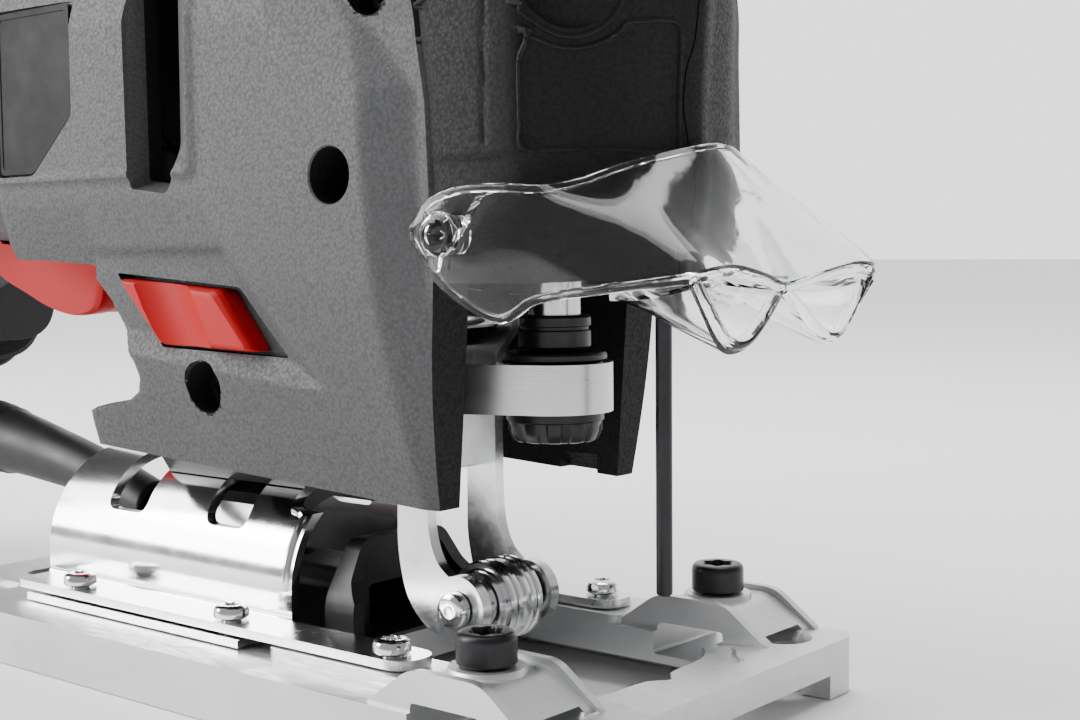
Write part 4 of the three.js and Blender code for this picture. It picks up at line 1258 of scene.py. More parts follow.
# ---------------------------------------------------------------- blade clamp and roller
@dataclass
class BladeClamp:
    """Plunger, collar, ring, chuck and the brushed band that opens it."""

    x: float = -31.0
    band: tuple[float, float] = (7.9, 8.8)
    band_span: tuple[float, float] = (37.1, 44.5)
    lean: float = -67.8

    def plunger(self, finishes: Finishes, datum: Datum) -> None:
        """Makes the ground rod with its yoke, which the crank pin runs in."""
        rod_piece = turned("plunger_ground",
                           [(0, 46.3), (3.6, 46.3), (4.0, 46.7), (4.0, 112.1), (3.6, 112.5), (0, 112.5)],
                           Axis.Z, (self.x, 0), datum, 64)
        yoke = prism("yoke", rounded_box((-13, 13), (74.5, 85.5), 2.5), Axis.X, -46, -42.5, datum)
        shape_with(yoke, [prism("yoke_slot", rounded_box((-11, 11), (77.1, 82.9), 2.4), Axis.X, -48, -41,
                                datum)],
                   "DIFFERENCE")
        arm = box("yoke_arm", (-44, -31), (-2.5, 2.5), (82.9, 85.4), datum)
        shape_with(rod_piece, [yoke, arm], "UNION")
        smoothed(rod_piece, 30)
        fit_out(rod_piece, finishes.ground, "plunger", "plunger", "plunger")

    def chuck(self, finishes: Finishes, datum: Datum) -> None:
        """Makes the collar, the black ring and the ratchet-edged chuck with its blade socket."""
        collar = turned("chuck_collar_turned",
                        [(4.2, 46.6), (5.2, 46.6), (5.5, 46.9), (5.5, 49.2), (5.15, 49.4),
                         (5.15, 49.8), (5.5, 50.0), (5.5, 51.2), (5.1, 51.6), (4.2, 51.6),
                         (4.2, 46.6)], Axis.Z, (self.x, 0), datum)
        smoothed(collar, 30)
        fit_out(collar, finishes.oxide, "plunger", "chuck_collar", "chuck_collar")
        ring = turned("clamp_ring_moulded",
                      [(0, 44.8), (7.6, 44.8), (7.9, 45.0), (7.9, 45.7), (7.6, 46), (5.9, 46),
                       (5.7, 45.7), (0, 45.7)], Axis.Z, (self.x, 0), datum)
        smoothed(ring, 30)
        fit_out(ring, finishes.black, "plunger", "clamp_ring", "clamp_ring")
        notch = np.where(np.arange(144) % 12 < 7, 1.0, 0.93)
        body = turned("chuck_body_turned",
                      [(3.1, 32.6), (5.9, 32.6), (6.4, 32.8), (6.75, 33.4), (7.1, 34.2), (7.1, 35.6),
                       (7.4, 35.8), (7.4, 44.2), (7.2, 44.5), (0, 44.5), (0, 40.5), (3.1, 40.5),
                       (3.1, 32.6)], Axis.Z, (self.x, 0), datum, 144, notch, (1, 2, 3, 4))
        slit = box("blade_slit", (self.x - 5.2, self.x + 5.2), (-0.8, 0.8), (30, 38), datum)
        shape_with(body, [slit], "DIFFERENCE")
        smoothed(body, 30)
        fit_out(body, finishes.oxide, "plunger", "chuck_body", "chuck_body")

    def lever(self, finishes: Finishes, datum: Datum) -> None:
        """Makes the brushed band: a ring that runs off straight along its tangent and folds in at the end."""
        inner, outer = self.band
        low, high = self.band_span
        lean = math.radians(self.lean)
        out = np.array([math.cos(lean), math.sin(lean)])
        run = np.array([math.sin(lean), -math.cos(lean)])
        turn = lean + np.linspace(np.radians(6), np.radians(318), 140)

        def strand(radius: float, tail: Sequence[tuple[float, float]]) -> Array:
            """One face of the band: round the ring from its far end, then along the tail (across, along)."""
            arc = np.stack([self.x + radius * np.cos(turn), radius * np.sin(turn)], 1)[::-1]
            ends = np.array([np.array([self.x, 0]) + across * out + far * run for across, far in tail])
            return np.concatenate([arc, ends])
        face = strand(outer, [(outer, 0.0), (outer, 4), (outer, 8), (outer, 12), (outer, 15.7),
                              (outer - 0.25, 16.15),
                              (outer - 0.8, 16.3), (6.8, 16.3)])
        back = strand(inner,
                      [(inner, 0.0), (inner, 4), (inner, 8), (inner, 12), (inner, 15.0), (inner - 0.1, 15.3),
                       (inner - 0.4, 15.4), (6.8, 15.4)])
        outline = np.concatenate([face, back[::-1]])
        levels = np.array([low, low + 0.12, high - 0.12, high])
        rings = np.stack([np.concatenate([outline, np.full((len(outline), 1), level)], 1)
                          for level in levels])
        band = lofted("clamp_lever_band", rings, datum)
        smoothed(band, 30)
        fit_out(band, finishes.brushed, "clamp_lever", "clamp_lever", "clamp_lever")

    def build(self, finishes: Finishes, datum: Datum) -> None:
        """Makes every piece of the blade clamp."""
        self.plunger(finishes, datum)
        self.chuck(finishes, datum)
        self.lever(finishes, datum)


@dataclass
class RollerFork:
    """Plated fork, its axle and the grooved roller that backs the blade."""

    axle: tuple[float, float] = (-43.0, 6.5)
    pivot: tuple[float, float] = (-50.0, 50.7)

    def cheek(self) -> Array:
        """Side view of a cheek: pivot eye, straight leg and a foot that curves forward round the axle."""
        ax, az = self.axle
        px, pz = self.pivot
        foot = np.radians(np.linspace(-95, 112, 30))
        eye = np.radians(np.linspace(-25, 165, 26))
        rear = curve_through([(-55.6, 46), (-55.6, 34), (-55.6, 22), (-55.5, 14), (-53.6, 7), (-49.6, 2.8),
                              (-44.6, 1.45)], 60)
        front = curve_through([(-45.4, 11.6), (-47.2, 13.2), (-48.6, 16.2), (-49.3, 21), (-49.4, 32),
                               (-49.2, 43),
                               (-46.9, 46.9)], 50)
        return np.concatenate([rear, np.stack([ax + 5.1 * np.cos(foot), az + 5.1 * np.sin(foot)], 1), front,
                               np.stack([px + 4.6 * np.cos(eye), pz + 4.6 * np.sin(eye)], 1)])

    def fork(self, finishes: Finishes, datum: Datum) -> None:
        """Joins two cheeks with the bridge behind, and bores them for the pivot and the axle."""
        outline = self.cheek()
        near = prism("fork_plated", outline, Axis.Y, -9.2, -7.2, datum)
        far = prism("far_cheek", outline, Axis.Y, 7.2, 9.2, datum)
        bridge = prism("bridge", rounded_box((-55.6, -53.6), (26, 46), 0.3), Axis.Y, -9, 9, datum)
        shape_with(near, [far, bridge], "UNION")
        holes = [rod("pivot_bore", Axis.Y, 2.1, -12, 12, self.pivot, datum),
                 rod("axle_bore", Axis.Y, 1.9, -12, 12, self.axle, datum)]
        shape_with(near, holes, "DIFFERENCE")
        soften(near, 0.3, 2, 40)
        fit_out(near, finishes.zinc, "roller_fork", "roller_fork", "roller_fork")

    def roller(self, finishes: Finishes, datum: Datum) -> None:
        """Turns the roller: hubs, stepped discs and a groove in the middle for the blade's back."""
        half = [(1.9, 6.2), (3.3, 6.2), (3.6, 5.9), (3.6, 5.1), (4.9, 5.1), (5.2, 4.8), (5.2, 3.9),
                (5.45, 3.7),
                (6.2, 3.7), (6.5, 3.4), (6.5, 2.75), (6.25, 2.5), (5.7, 2.4), (5.7, 2.2), (6.3, 2.1),
                (6.5, 1.9),
                (6.5, 1.2), (6.25, 0.95), (5.2, 0.7), (4.9, 0.45)]
        profile = half + [(r, -place) for r, place in reversed(half)] + [half[0]]
        roller = turned("support_roller_turned", profile, Axis.Y, self.axle, datum, 96)
        smoothed(roller, 28)
        fit_out(roller, finishes.plated, "roller", "support_roller", "support_roller")
        axle = turned("roller_axle_headed",
                      [(0, -11.2), (0.9, -11.4), (2.1, -11.35), (2.6, -11.1), (2.75, -10.7),
                       (2.75, -9.5), (1.6, -9.5), (1.6, 9.5), (2.75, 9.5), (2.75, 10.2),
                       (2.5, 10.6), (0, 10.6)], Axis.Y, self.axle, datum, 64)
        smoothed(axle, 30)
        fit_out(axle, finishes.plated, "roller_fork", "roller_axle", "roller_axle")
        pin = turned("fork_pivot_headed",
                     [(0, -15.5), (1.5, -15.5), (1.8, -15.2), (1.8, -14.2), (1.45, -14.1),
                      (1.45, -13.5), (1.8, -13.4), (1.8, 13.4), (1.45, 13.5), (1.45, 14.1),
                      (1.8, 14.2), (1.8, 15.2), (1.5, 15.5), (0, 15.5)], Axis.Y, self.pivot,
                     datum, 48)
        smoothed(pin, 30)
        fit_out(pin, finishes.plated, "body", "fork_pivot_pin", "fork_pivot_pin")
        guard = turned("guard_rod_coated",
                       [(0, 11.3), (0.8, 11.3), (1.15, 11.6), (1.2, 12), (1.2, 66), (0, 66)], Axis.Z,
                       (-11, 0), datum, 40)
        smoothed(guard, 30)
        fit_out(guard, finishes.oxide, "body", "guard_rod", "guard_rod")

    def build(self, finishes: Finishes, datum: Datum) -> None:
        """Makes the fork, roller, axle, pivot pin and guard rod."""
        self.fork(finishes, datum)
        self.roller(finishes, datum)


# ---------------------------------------------------------------- housing
def ramp(value: Array, low: float, high: float) -> Array:
    """Smooth step from 0 at low to 1 at high: 3t^2 - 2t^3."""
    t = np.clip((value - low) / (high - low), 0, 1)
    return t * t * (3 - 2 * t)


@dataclass
class GearHousing:
    """Two-part moulded housing: gear case with its nose, neck and grip. Sizes in millimetres."""

    floor: float = 57.0
    top: float = 122.6
    columns: int = 124
    nose_columns: int = 96
    axis_x: float = -31.0
    rear: tuple[tuple[float, float], ...] = (
        (28.0, -115.0), (31.6, -114.4), (33.2, -109.5), (34.9, -102.6), (37.2, -99.2), (40.2, -98.0),
        (43.2, -98.6), (53.5, -105.5), (59.7, -112.2), (60.3, -134.0), (130.0, -134.0))
    nose_front: tuple[tuple[float, float], ...] = (
        (57.3, -7.0), (60.0, -6.6), (68.0, -4.6), (82.0, -4.6), (96.0, -3.7), (106.0, -4.4), (113.0, -8.0),
        (118.5, -16.0), (121.3, -30.0), (122.2, -52.0), (122.7, -60.0))
    nose_plan: tuple[tuple[float, float], ...] = (
        (-31.0, 26.7), (-27.0, 27.7), (-20.6, 27.9), (-15.6, 27.2), (-13.4, 25.8), (-12.1, 23.4),
        (-10.4, 19.6), (-8.4, 15.6), (-7.0, 12.2), (-5.9, 8.4), (-4.9, 4.6), (-3.9, 1.6), (-3.6, 0.0))
    screws: tuple[tuple[float, float], ...] = (
        (-79.8, 40.1), (-47.9, 72.2), (-42.5, 98.5), (-183.0, 74.0), (-183.0, 110.0), (-146.0, 111.0))

    def half_width(self, z: Array) -> Array:
        """Half width at a height: 30, less 6((58-z)/33.5)^1.6 below 58, and an oval shoulder above 98."""
        low = 6 * np.clip((58 - z) / 33.5, 0, 1) ** 1.6
        q = np.clip((z - 98) / 25.0, 0, 0.999)
        return (30 - low) * (1 - q ** 2.6) ** (1 / 2.3)

    def crease(self, z: Array) -> Array:
        """X of the crease where the flank turns in towards the nose."""
        return np.interp(z, [24.5, 40, 60, 72, 79, 83.5, 92.5, 98, 123],
                         [-35.6, -37.4, -40.1, -41.5, -41.9, -41.7,
                          -49.4, -56.5, -84])

    def shell_front(self, z: Array) -> Array:
        """X of the flank's front edge, where the nose starts."""
        return np.interp(z, [24.5, 54, 57, 82, 90, 100, 123], [-33.5, -31.3, -31, -32.2, -33.6, -34.6, -35.5])

    def flank_end(self, z: Array) -> Array:
        """X where the flank hands over to the nose: its front edge, or 3 mm behind the crown's front line."""
        return np.minimum(self.shell_front(z), np.interp(z, *np.array(self.nose_front).T) - 3.0)

    def inset(self, x: Array, z: Array) -> Array:
        """Depth of the flank below its widest face: switch recess, crease, shoulder facet and panel edge.

        The recess is min(below the ridge, behind the diagonal, above the ledge), held between 0 and 2.3 mm;
        the crease falls 0.44 mm a millimetre forward of its line; the facet falls 0.28 above its line.
        """
        ridge = np.interp(x, [-131.5, -78.9, -60], [72.0, 69.8, 69.0])
        below = 0.11 * (ridge - z) + 1.1 * ramp(62.4 - z, 0, 1.6)
        diagonal = -77.4 + (69.8 - z) * 0.93
        behind = 0.42 * (diagonal - x)
        ledge = np.interp(x, [-99.2, -56.8], [45.0, 41.0])
        above = 0.6 * (z - ledge)
        recess = np.clip(np.minimum(np.minimum(below, behind), above), 0, 2.3)
        turn = np.clip(0.44 * (x - self.crease(z)), 0, 3.4) * (1 - 0.4 * ramp(z, 92, 104))
        line = np.interp(x, [-134, -78, -62, -41.7, -30], [99.5, 97.6, 95.0, 83.6, 80.0])
        facet = np.clip(0.28 * (z - line), 0, 2.4) * ramp(x, -128, -100)
        panel = (-0.55 * ramp(z, 73.0, 73.9) * ramp(-77.2 - x, 0, 1.6) * ramp(104.6 - z, 0, 1.2)
                 * ramp(x, -134, -131))
        lip = -0.35 * np.exp(-((z - 73.6) / 0.7) ** 2) * ramp(-78.5 - x, 0, 1.0)
        return recess + np.maximum(turn, facet) + panel + lip

    def nose_shape(self, z: Array, t: Array) -> tuple[Array, Array]:
        """Plan of the nose at a height: the drawn plan moved to the front line, narrowed with the shoulder.

        Args:
            z: Heights.
            t: Places along the plan, 0 at the flank and 1 on the centre.

        Returns:
            X and half width, each by height and place.
        """
        plan = curve_through(self.nose_plan, 600)
        reach = np.concatenate([[0], np.cumsum(np.linalg.norm(np.diff(plan, axis=0), axis=1))])
        drawn_x = np.interp(t, reach / reach[-1], plan[:, 0])
        drawn_y = np.interp(t, reach / reach[-1], plan[:, 1])
        levels, fronts = np.array(self.nose_front).T
        smooth = np.interp(np.linspace(57.3, 122.7, 400), levels, fronts)
        smooth = np.convolve(np.pad(smooth, 8, "edge"), np.ones(17) / 17, "valid")
        front = np.interp(z, np.linspace(57.3, 122.7, 400), smooth)[:, None]
        base = self.flank_end(np.maximum(z, self.floor))[:, None]
        x = base + (front - base) * ((drawn_x + 31) / 27.4)[None, :]
        narrow = (self.half_width(np.maximum(z, 58)) / 30.0)[:, None]
        y = drawn_y[None, :] * narrow * (1 - 0.012 * ramp(z[:, None], 60, 57))
        pinch = 0.55 * np.exp(-((x + 14.6) / 0.75) ** 2) + 0.3 * np.exp(-((x + 20.4) / 0.35) ** 2)
        y = y - pinch * ramp(z[:, None], 74.5, 76.0) * ramp(drawn_y[None, :], 23, 26)
        step = 0.45 * ramp(z[:, None], 74.2, 73.2)
        return x, y - step * ramp(drawn_y[None, :], 20, 27)

    def skin(self, datum: Datum) -> Piece:
        """Makes the gear case's outside: rings stacked by height, from rear to nose and back mirrored."""
        z = np.concatenate([np.linspace(24.5, self.floor - 0.04, 58), np.linspace(self.floor + 0.04, 60.0, 6),
                            np.linspace(60.3, 100, 70), np.linspace(100.5, 118, 34),
                            118 + (self.top - 118) * np.linspace(0.06, 1, 16) ** 0.7])
        z = np.unique(np.sort(z))
        rows = len(z)
        rear_x = np.interp(z, *np.array(self.rear).T)
        front_x = np.where(z < self.floor, self.shell_front(z), self.flank_end(np.maximum(z, self.floor)))
        grid = np.linspace(0, 1, self.columns)
        wanted = -134 + grid[None, :] * (front_x[:, None] + 134)
        x = np.maximum(wanted, rear_x[:, None] + 0.012 * np.arange(self.columns)[None, :])
        x[:, -1] = front_x
        height = np.broadcast_to(z[:, None], x.shape)
        y = self.half_width(height) - self.inset(x, height)
        y = np.minimum(y, 60) - 2.2 * (1 - ramp(x - rear_x[:, None], -0.01, 3.0)) ** 2
        t = np.linspace(0.0, 1, self.nose_columns)
        nose_x, nose_y = self.nose_shape(z, t)
        seam = (y[:, -1] - nose_y[:, 0])[:, None]
        start = np.exp(-t[None, :] * 14)
        nose_y = nose_y + seam * start
        leg = z < self.floor
        flat = (1 - t)[None, :] * y[:, -1:]
        nose_x = np.where(leg[:, None], front_x[:, None] + 0.0002 * np.arange(self.nose_columns), nose_x)
        nose_y = np.where(leg[:, None], flat, nose_y)
        groove = np.exp(-((t[None, 1:] - 0.012) / 0.012) ** 2) * (~leg)[:, None]
        nose_x, nose_y = nose_x[:, 1:], nose_y[:, 1:] - 0.7 * groove
        cap = np.linspace(0, 1, 12)[:-1]
        cap_x = np.broadcast_to(rear_x[:, None], (rows, 11))
        cap_y = cap[None, :] * y[:, :1]
        half_x = np.concatenate([cap_x, x, nose_x], 1)
        half_y = np.concatenate([cap_y, y, nose_y], 1)
        slope = 4.1 * (-33.5 - half_x) / 81.5 * (1 - ramp(z, 24.5, 47))[:, None] * (half_x < -30)
        half_z = z[:, None] + slope
        right = np.stack([half_x, -half_y, half_z], -1)
        left = np.stack([half_x, half_y, half_z], -1)[:, 1:-1][:, ::-1]
        return lofted("gear_case", np.concatenate([right, left], 1), datum)

    def grip(self, inset: float, name: str, datum: Datum) -> Piece:
        """Makes the grip: ovals |y/w|^2.8 + |z/h|^2.8 = 1 along X, with rows of shallow ribs on the flanks.

        Args:
            inset: How far inside the outer face.
            name: The piece's name.
            datum: Where the maker's datum is in the model.

        Returns:
            The closed grip.
        """
        stations = curve_through([(-212, 34, 40, 90), (-208, 32.9, 37, 90.5), (-204, 31.5, 34, 91),
                                  (-198, 29.6, 31.6, 91.6),
                                  (-192, 28.5, 30, 92), (-166, 27.6, 29, 92.3), (-140, 28.8, 30, 91.6),
                                  (-124, 29, 30.4, 91), (-100, 29, 30.4, 91)], 150)
        angle = np.linspace(0, 2 * np.pi, 144, endpoint=False)
        cos, sin = np.cos(angle), np.sin(angle)
        x = stations[:, :1] - (0.6 * np.sign(inset) * (np.arange(150) == 0))[:, None]
        wide, tall, middle = (stations[:, i:i + 1] for i in (1, 2, 3))
        rib = 0.0
        if inset == 0:
            flank = ramp(np.abs(sin), 0.72, 0.9)[None, :]
            zone = ramp(x, -199, -196) * ramp(-140 - x, 0, 3)
            rib = (0.4 * flank * zone
                   * (0.5 + 0.5 * np.cos(2 * np.pi * (x + 0.35 * (cos * 30)[None, :]) / 4.2)) ** 3)
        y = -(wide - inset - rib) * np.sign(sin) * np.abs(sin) ** 0.72
        z = middle + (tall - inset) * np.sign(cos) * np.abs(cos) ** 0.72
        return lofted(name, np.stack(np.broadcast_arrays(x, y, z), -1), datum)

    def hollows(self, datum: Datum) -> list[Piece]:
        """Solids that are hollow in both halves: gear space, legs, bracket, plunger, rods, trigger."""
        return [
            box("gear_space", (-92, -57), (-26.4, 26.4), (60, 101), datum),
            box("yoke_space", (-58, -37), (-22, 22), (60, 103), datum),
            box("front_space", (-92, -16), (-19, 19), (60, 110), datum),
            box("plunger_top", (-40, -24), (-7, 7), (109, 118), datum),
            self.grip(2.8, "grip_space", datum),
            box("motor_way", (-106, -90), (-24, 24), (66, 112), datum),
            box("leg_space", (-90, -20), (-19, 19), (10, self.floor + 0.3), datum),
            box("neck_space", (-92, -60), (-18.5, 18.5), (50, 62), datum),
            rod("plunger_way", Axis.Z, 6, 50, 66, (self.axis_x, 0), datum),
            rod("guard_way", Axis.Z, 1.5, 50, 68, (-11, 0), datum, 24),
            rod("clip_way", Axis.Y, 2.9, -40, 40, (-25.5, 63.5), datum, 40),
            rod("bracket_way", Axis.X, 23.6, -120, -20, (0, 6.4), datum, 160),
            rod("screw_relief", Axis.X, 28.6, -45.2, -37.6, (0, 6.4), datum, 160),
            prism("trigger_way", rounded_box((-175.5, -129.5), (-10.6, 10.6), 2), Axis.Z, 50, 71, datum),
            rod("trigger_pin_way", Axis.Y, 1.7, -12.8, 12.8, (-171, 66), datum, 24),
        ]

    def nose_line(self, z: Array, side_y: Array) -> Array:
        """Points on the nose's face at heights z and half widths side_y, on the right side."""
        t = np.linspace(0, 1, 900)
        found = []
        for level, wanted in zip(np.atleast_1d(z), np.atleast_1d(side_y)):
            nose_x, nose_y = self.nose_shape(np.array([level]), t)
            place = int(np.argmin(np.abs(nose_y[0] - wanted)))
            found.append((nose_x[0, place], -nose_y[0, place], level))
        return np.array(found)

    def beads(self, datum: Datum) -> list[Piece]:
        """Raised outlines on the nose: the panel, whose top dips round the round recess, and the ring."""
        angle = np.radians(np.linspace(216, 322, 26))
        dip = np.stack([20.4 - 9.6 * np.cos(angle), 97.4 + 9.6 * np.sin(angle)], 1)
        dip = dip[np.argsort(-dip[:, 0])]
        panel = np.array([(26.4, 74.6), (26.4, 78), (26.4, 82), (26.4, 86), (26.3, 90.2), *dip[3:],
                          (10.5, 91.9), (6.5, 92.3), (4.4, 91.9), (3.9, 90), (3.9, 85), (3.9, 80),
                          (3.9, 75.6), (4.5, 74.7), (9, 74.6), (14, 74.6), (19, 74.6), (23, 74.6)])
        ring = np.radians(np.linspace(0, 360, 48, endpoint=False))
        loop = np.stack([20.4 - 7.4 * np.cos(ring), 97.6 + 8.3 * np.sin(ring)], 1)
        made = []
        for name, drawn in (("panel", panel), ("ring", loop)):
            path = curve_through(self.nose_line(drawn[:, 1], drawn[:, 0]), 220, closed=True)
            made.append(tube(f"{name}_bead", path, 0.36, datum, 8, closed=True))
        return made

    def recesses(self, side: Side, datum: Datum) -> list[Piece]:
        """Solids cut from one half: badge seat, vent and rim, round recess, wells or selector hole."""
        s = side.value
        badge = rounded([(-131, 74.5), (-120.4, 74.5), (-108.8, 84.2), (-108.8, 103), (-131, 103)], 1.2)
        vent = np.array([(-94.0, 71.6), (-84.8, 70.6), (-79.4, 78.6), (-78.9, 104), (-94.6, 104)])
        slot = np.array([(-93.4, 73.0), (-86.6, 72.2), (-85.2, 78.8), (-85.0, 103.4), (-93.8, 103.4)])
        outer, inner = rounded(vent, 1.0), rounded(slot, 0.8)
        rim = np.stack([np.stack([ring[:, 0], np.full(len(ring), s * place), ring[:, 1]], 1)
                        for ring, place in ((outer, 31.5), (outer, 29.7), (inner, 26.6), (inner, 26.2))])
        tools = [prism(f"badge_seat_{side.word}", badge, Axis.Y, *side.span(29.3, 40), datum),
                 lofted(f"vent_rim_{side.word}", rim, datum),
                 prism(f"vent_{side.word}", inner, Axis.Y, *side.span(20, 40), datum)]
        if side is Side.RIGHT:
            seat = self.nose_line(np.array([97.6]), np.array([20.4]))[0]
            path = seat + np.array([0.72, -0.69, 0.02]) * np.linspace(-1.3, 4, 5)[:, None]
            tools.append(tube("round_recess", path, 7.2, datum, 64))
            window = rounded([(-101.4, 58.1), (-90, 46.2), (-60.7, 45.4), (-70.4, 56)], 0.9)
            tools.append(prism("switch_window", window, Axis.Y, -40, -24.7, datum))
            tools.append(box("switch_slot", (-87.5, -78.5), (-26, -15), (48.9, 54.1), datum))
            for number, (x, z) in enumerate(self.screws):
                face = float(self.half_width(np.array(z)) - self.inset(np.array(x), np.array(z)))
                face = face if x > -134 else 25.6
                tools.append(turned(f"well_{number}",
                                    [(0, -40), (4.9, -40), (4.4, -face - 0.1), (4.1, -face + 0.25),
                                     (4.1, -21.6), (0, -21.6)], Axis.Y, (x, z), datum, 96))
                tools.append(rod(f"bore_{number}", Axis.Y, 1.9, -30, -10, (x, z), datum, 24))
        else:
            tools.append(rod("selector_seat", Axis.Y, 8.7, 22, 40, (-72, 50), datum, 80))
            tools.append(rod("selector_bore", Axis.Y, 3.4, 10, 40, (-72, 50), datum, 40))
        return tools

    def half_space(self, side: Side, datum: Datum) -> Piece:
        """Half of space up to the seam, which is flat behind and waves from side to side down the nose."""
        levels = np.array([0, 70, 74, 76.3, 80.4, 84, 86.5, 90, 95.5, 100, 110, 200.0])
        wave = np.array([0, -1.6, -2.2, -2.4, -3.1, -3.0, -2.7, -1.7, -1.3, -1.2, -0.6, 0])
        curve = curve_through(np.stack([wave, levels], 1), 120)
        places = np.array([-300, -40, -24, 60.0])
        share = np.array([0, 0, 1.0, 1.0])
        rings = []
        for x, part in zip(places, share):
            seam = curve[:, 0] * part + side.value * 0.15
            ring = [(x, y, z) for y, z in zip(seam, curve[:, 1])]
            rings.append([*ring, (x, side.value * 70, 200.0), (x, side.value * 70, 0.0)])
        return lofted(f"half_{side.word}", np.array(rings), datum)

    def build(self, finishes: Finishes, datum: Datum) -> None:
        """Makes both halves with their badges and screws."""
        case = self.skin(datum)
        relief = [prism(f"neck_relief_{side.word}", [(side.value * 30.6, 71), (side.value * 24, 57.5),
                                                     (side.value * 34, 57.5), (side.value * 34, 71)],
                        Axis.X, -150, -107, datum) for side in Side]
        shape_with(case, relief, "DIFFERENCE")
        shape_with(case, [self.grip(0, "grip_outside", datum)], "UNION")
        shape_with(case, self.beads(datum), "UNION")
        skin = case.copy()
        skin.data = case.data.copy()
        bpy.context.scene.collection.objects.link(skin)
        shape_with(case, self.hollows(datum), "DIFFERENCE")
        bosses = join_meshes("bosses", [rod(f"boss_{x}", Axis.Y, 6.2, -27.5, -19.4, (x, z), datum, 40)
                                        for x, z in self.screws])
        shape_with(bosses, [skin], "INTERSECT")
        for side in Side:
            half = case.copy()
            half.data = case.data.copy()
            half.name = f"{side.word}_housing_moulded"
            bpy.context.scene.collection.objects.link(half)
            shape_with(half, [self.half_space(side, datum)], "INTERSECT")
            if side is Side.RIGHT:
                shape_with(half, [bosses], "UNION")
            shape_with(half, self.recesses(side, datum), "DIFFERENCE")
            smoothed(half, 34)
            half.data.materials.append(finishes.shell)
            # The second finish goes on the nose, its own darker plastic, and as painted shade on the legs'
            # inner faces and the recesses.
            half.data.materials.append(finishes.nose)
            self.mark_nose_and_painted_shade(half, datum)
            node = f"{side.word}_housing"
            fit_out(half, finishes.shell, "body", node, node)
            self.badge(side, finishes, datum)
        bpy.data.objects.remove(case)
        for number, (x, z) in enumerate(self.screws):
            profile = [(0, -17), (1.6, -17), (1.6, -21.9), (3.4, -21.9), (3.4, -23.3), (3.1, -23.6),
                       (1.9, -23.6), (1.7, -22.6), (0, -22.6)]
            screw = turned(f"case_screw_{number + 1}", profile, Axis.Y, (x, z), datum, 72, torx(72, 0.16),
                           (6, 7))
            smoothed(screw, 35)
            node = f"housing_screw_{number + 1}"
            fit_out(screw, finishes.oxide, "body", node, node)

    def mark_nose_and_painted_shade(self, half: Piece, datum: Datum) -> None:
        """Gives the darker finish to the nose, which is its own darker plastic, and as painted shade to the
        legs' insides, fronts and undersides, the wells, the vent and the window.
        """
        faces = half.data.polygons
        centre, facing = np.empty(len(faces) * 3), np.empty(len(faces) * 3)
        faces.foreach_get("center", centre)
        faces.foreach_get("normal", facing)
        x, y, z = ((centre.reshape(-1, 3) - np.array([datum.front, 0, datum.top])) * 1000).T
        facing = facing.reshape(-1, 3)
        ahead = (x > self.shell_front(z) + 0.25) & (z > self.floor - 0.2)
        inward = facing[:, 1] * np.sign(y) < -0.5
        # Painted shade: the legs' inward, forward and downward faces take the nose's darker finish in place
        # of the shade that falls there.
        legs = ((x > -93) & (z < 62)
                & ((inward & (np.abs(y) < 28)) | (facing[:, 0] > 0.8) | (facing[:, 2] < -0.8)))
        # Painted shade: the walls of the screw wells, the vent and the switch window take the darker finish
        # in place of the shade inside them.
        deep = np.zeros(len(faces), bool)
        for well_x, well_z in self.screws:
            deep |= (np.hypot(x - well_x, z - well_z) < 4.25) & (np.abs(y) < 29.8)
        deep |= (x > -95) & (x < -84.4) & (z > 72) & (z < 104) & (np.abs(y) < 26.7)
        deep |= ((x > -101.6) & (x < -60.6) & (z > 45.2) & (z < 58.2)
                 & (np.abs(facing[:, 1]) < 0.3) & (y < -24))
        faces.foreach_set("material_index", (ahead | legs | deep).astype(np.int32))

    def badge(self, side: Side, finishes: Finishes, datum: Datum) -> None:
        """Makes the blank badge: a plate with a cut corner and a shallow raised edge."""
        outline = rounded([(-130.6, 74.9), (-120.6, 74.9), (-109.2, 84.4), (-109.2, 102.6), (-130.6, 102.6)],
                          1.1)
        low, high = side.span(29.4, 30.25)
        plate = prism(f"badge_{side.word}_blank", outline, Axis.Y, low, high, datum)
        middle = outline.mean(0)
        field_low, field_high = side.span(30.1, 31)
        shape_with(plate, [prism("field", middle + (outline - middle) * 0.93, Axis.Y, field_low, field_high,
                                 datum)],
                   "DIFFERENCE")
        soften(plate, 0.12, 2)
        node = f"badge_panel_{side.word}"
        fit_out(plate, finishes.blank, "body", node, node)


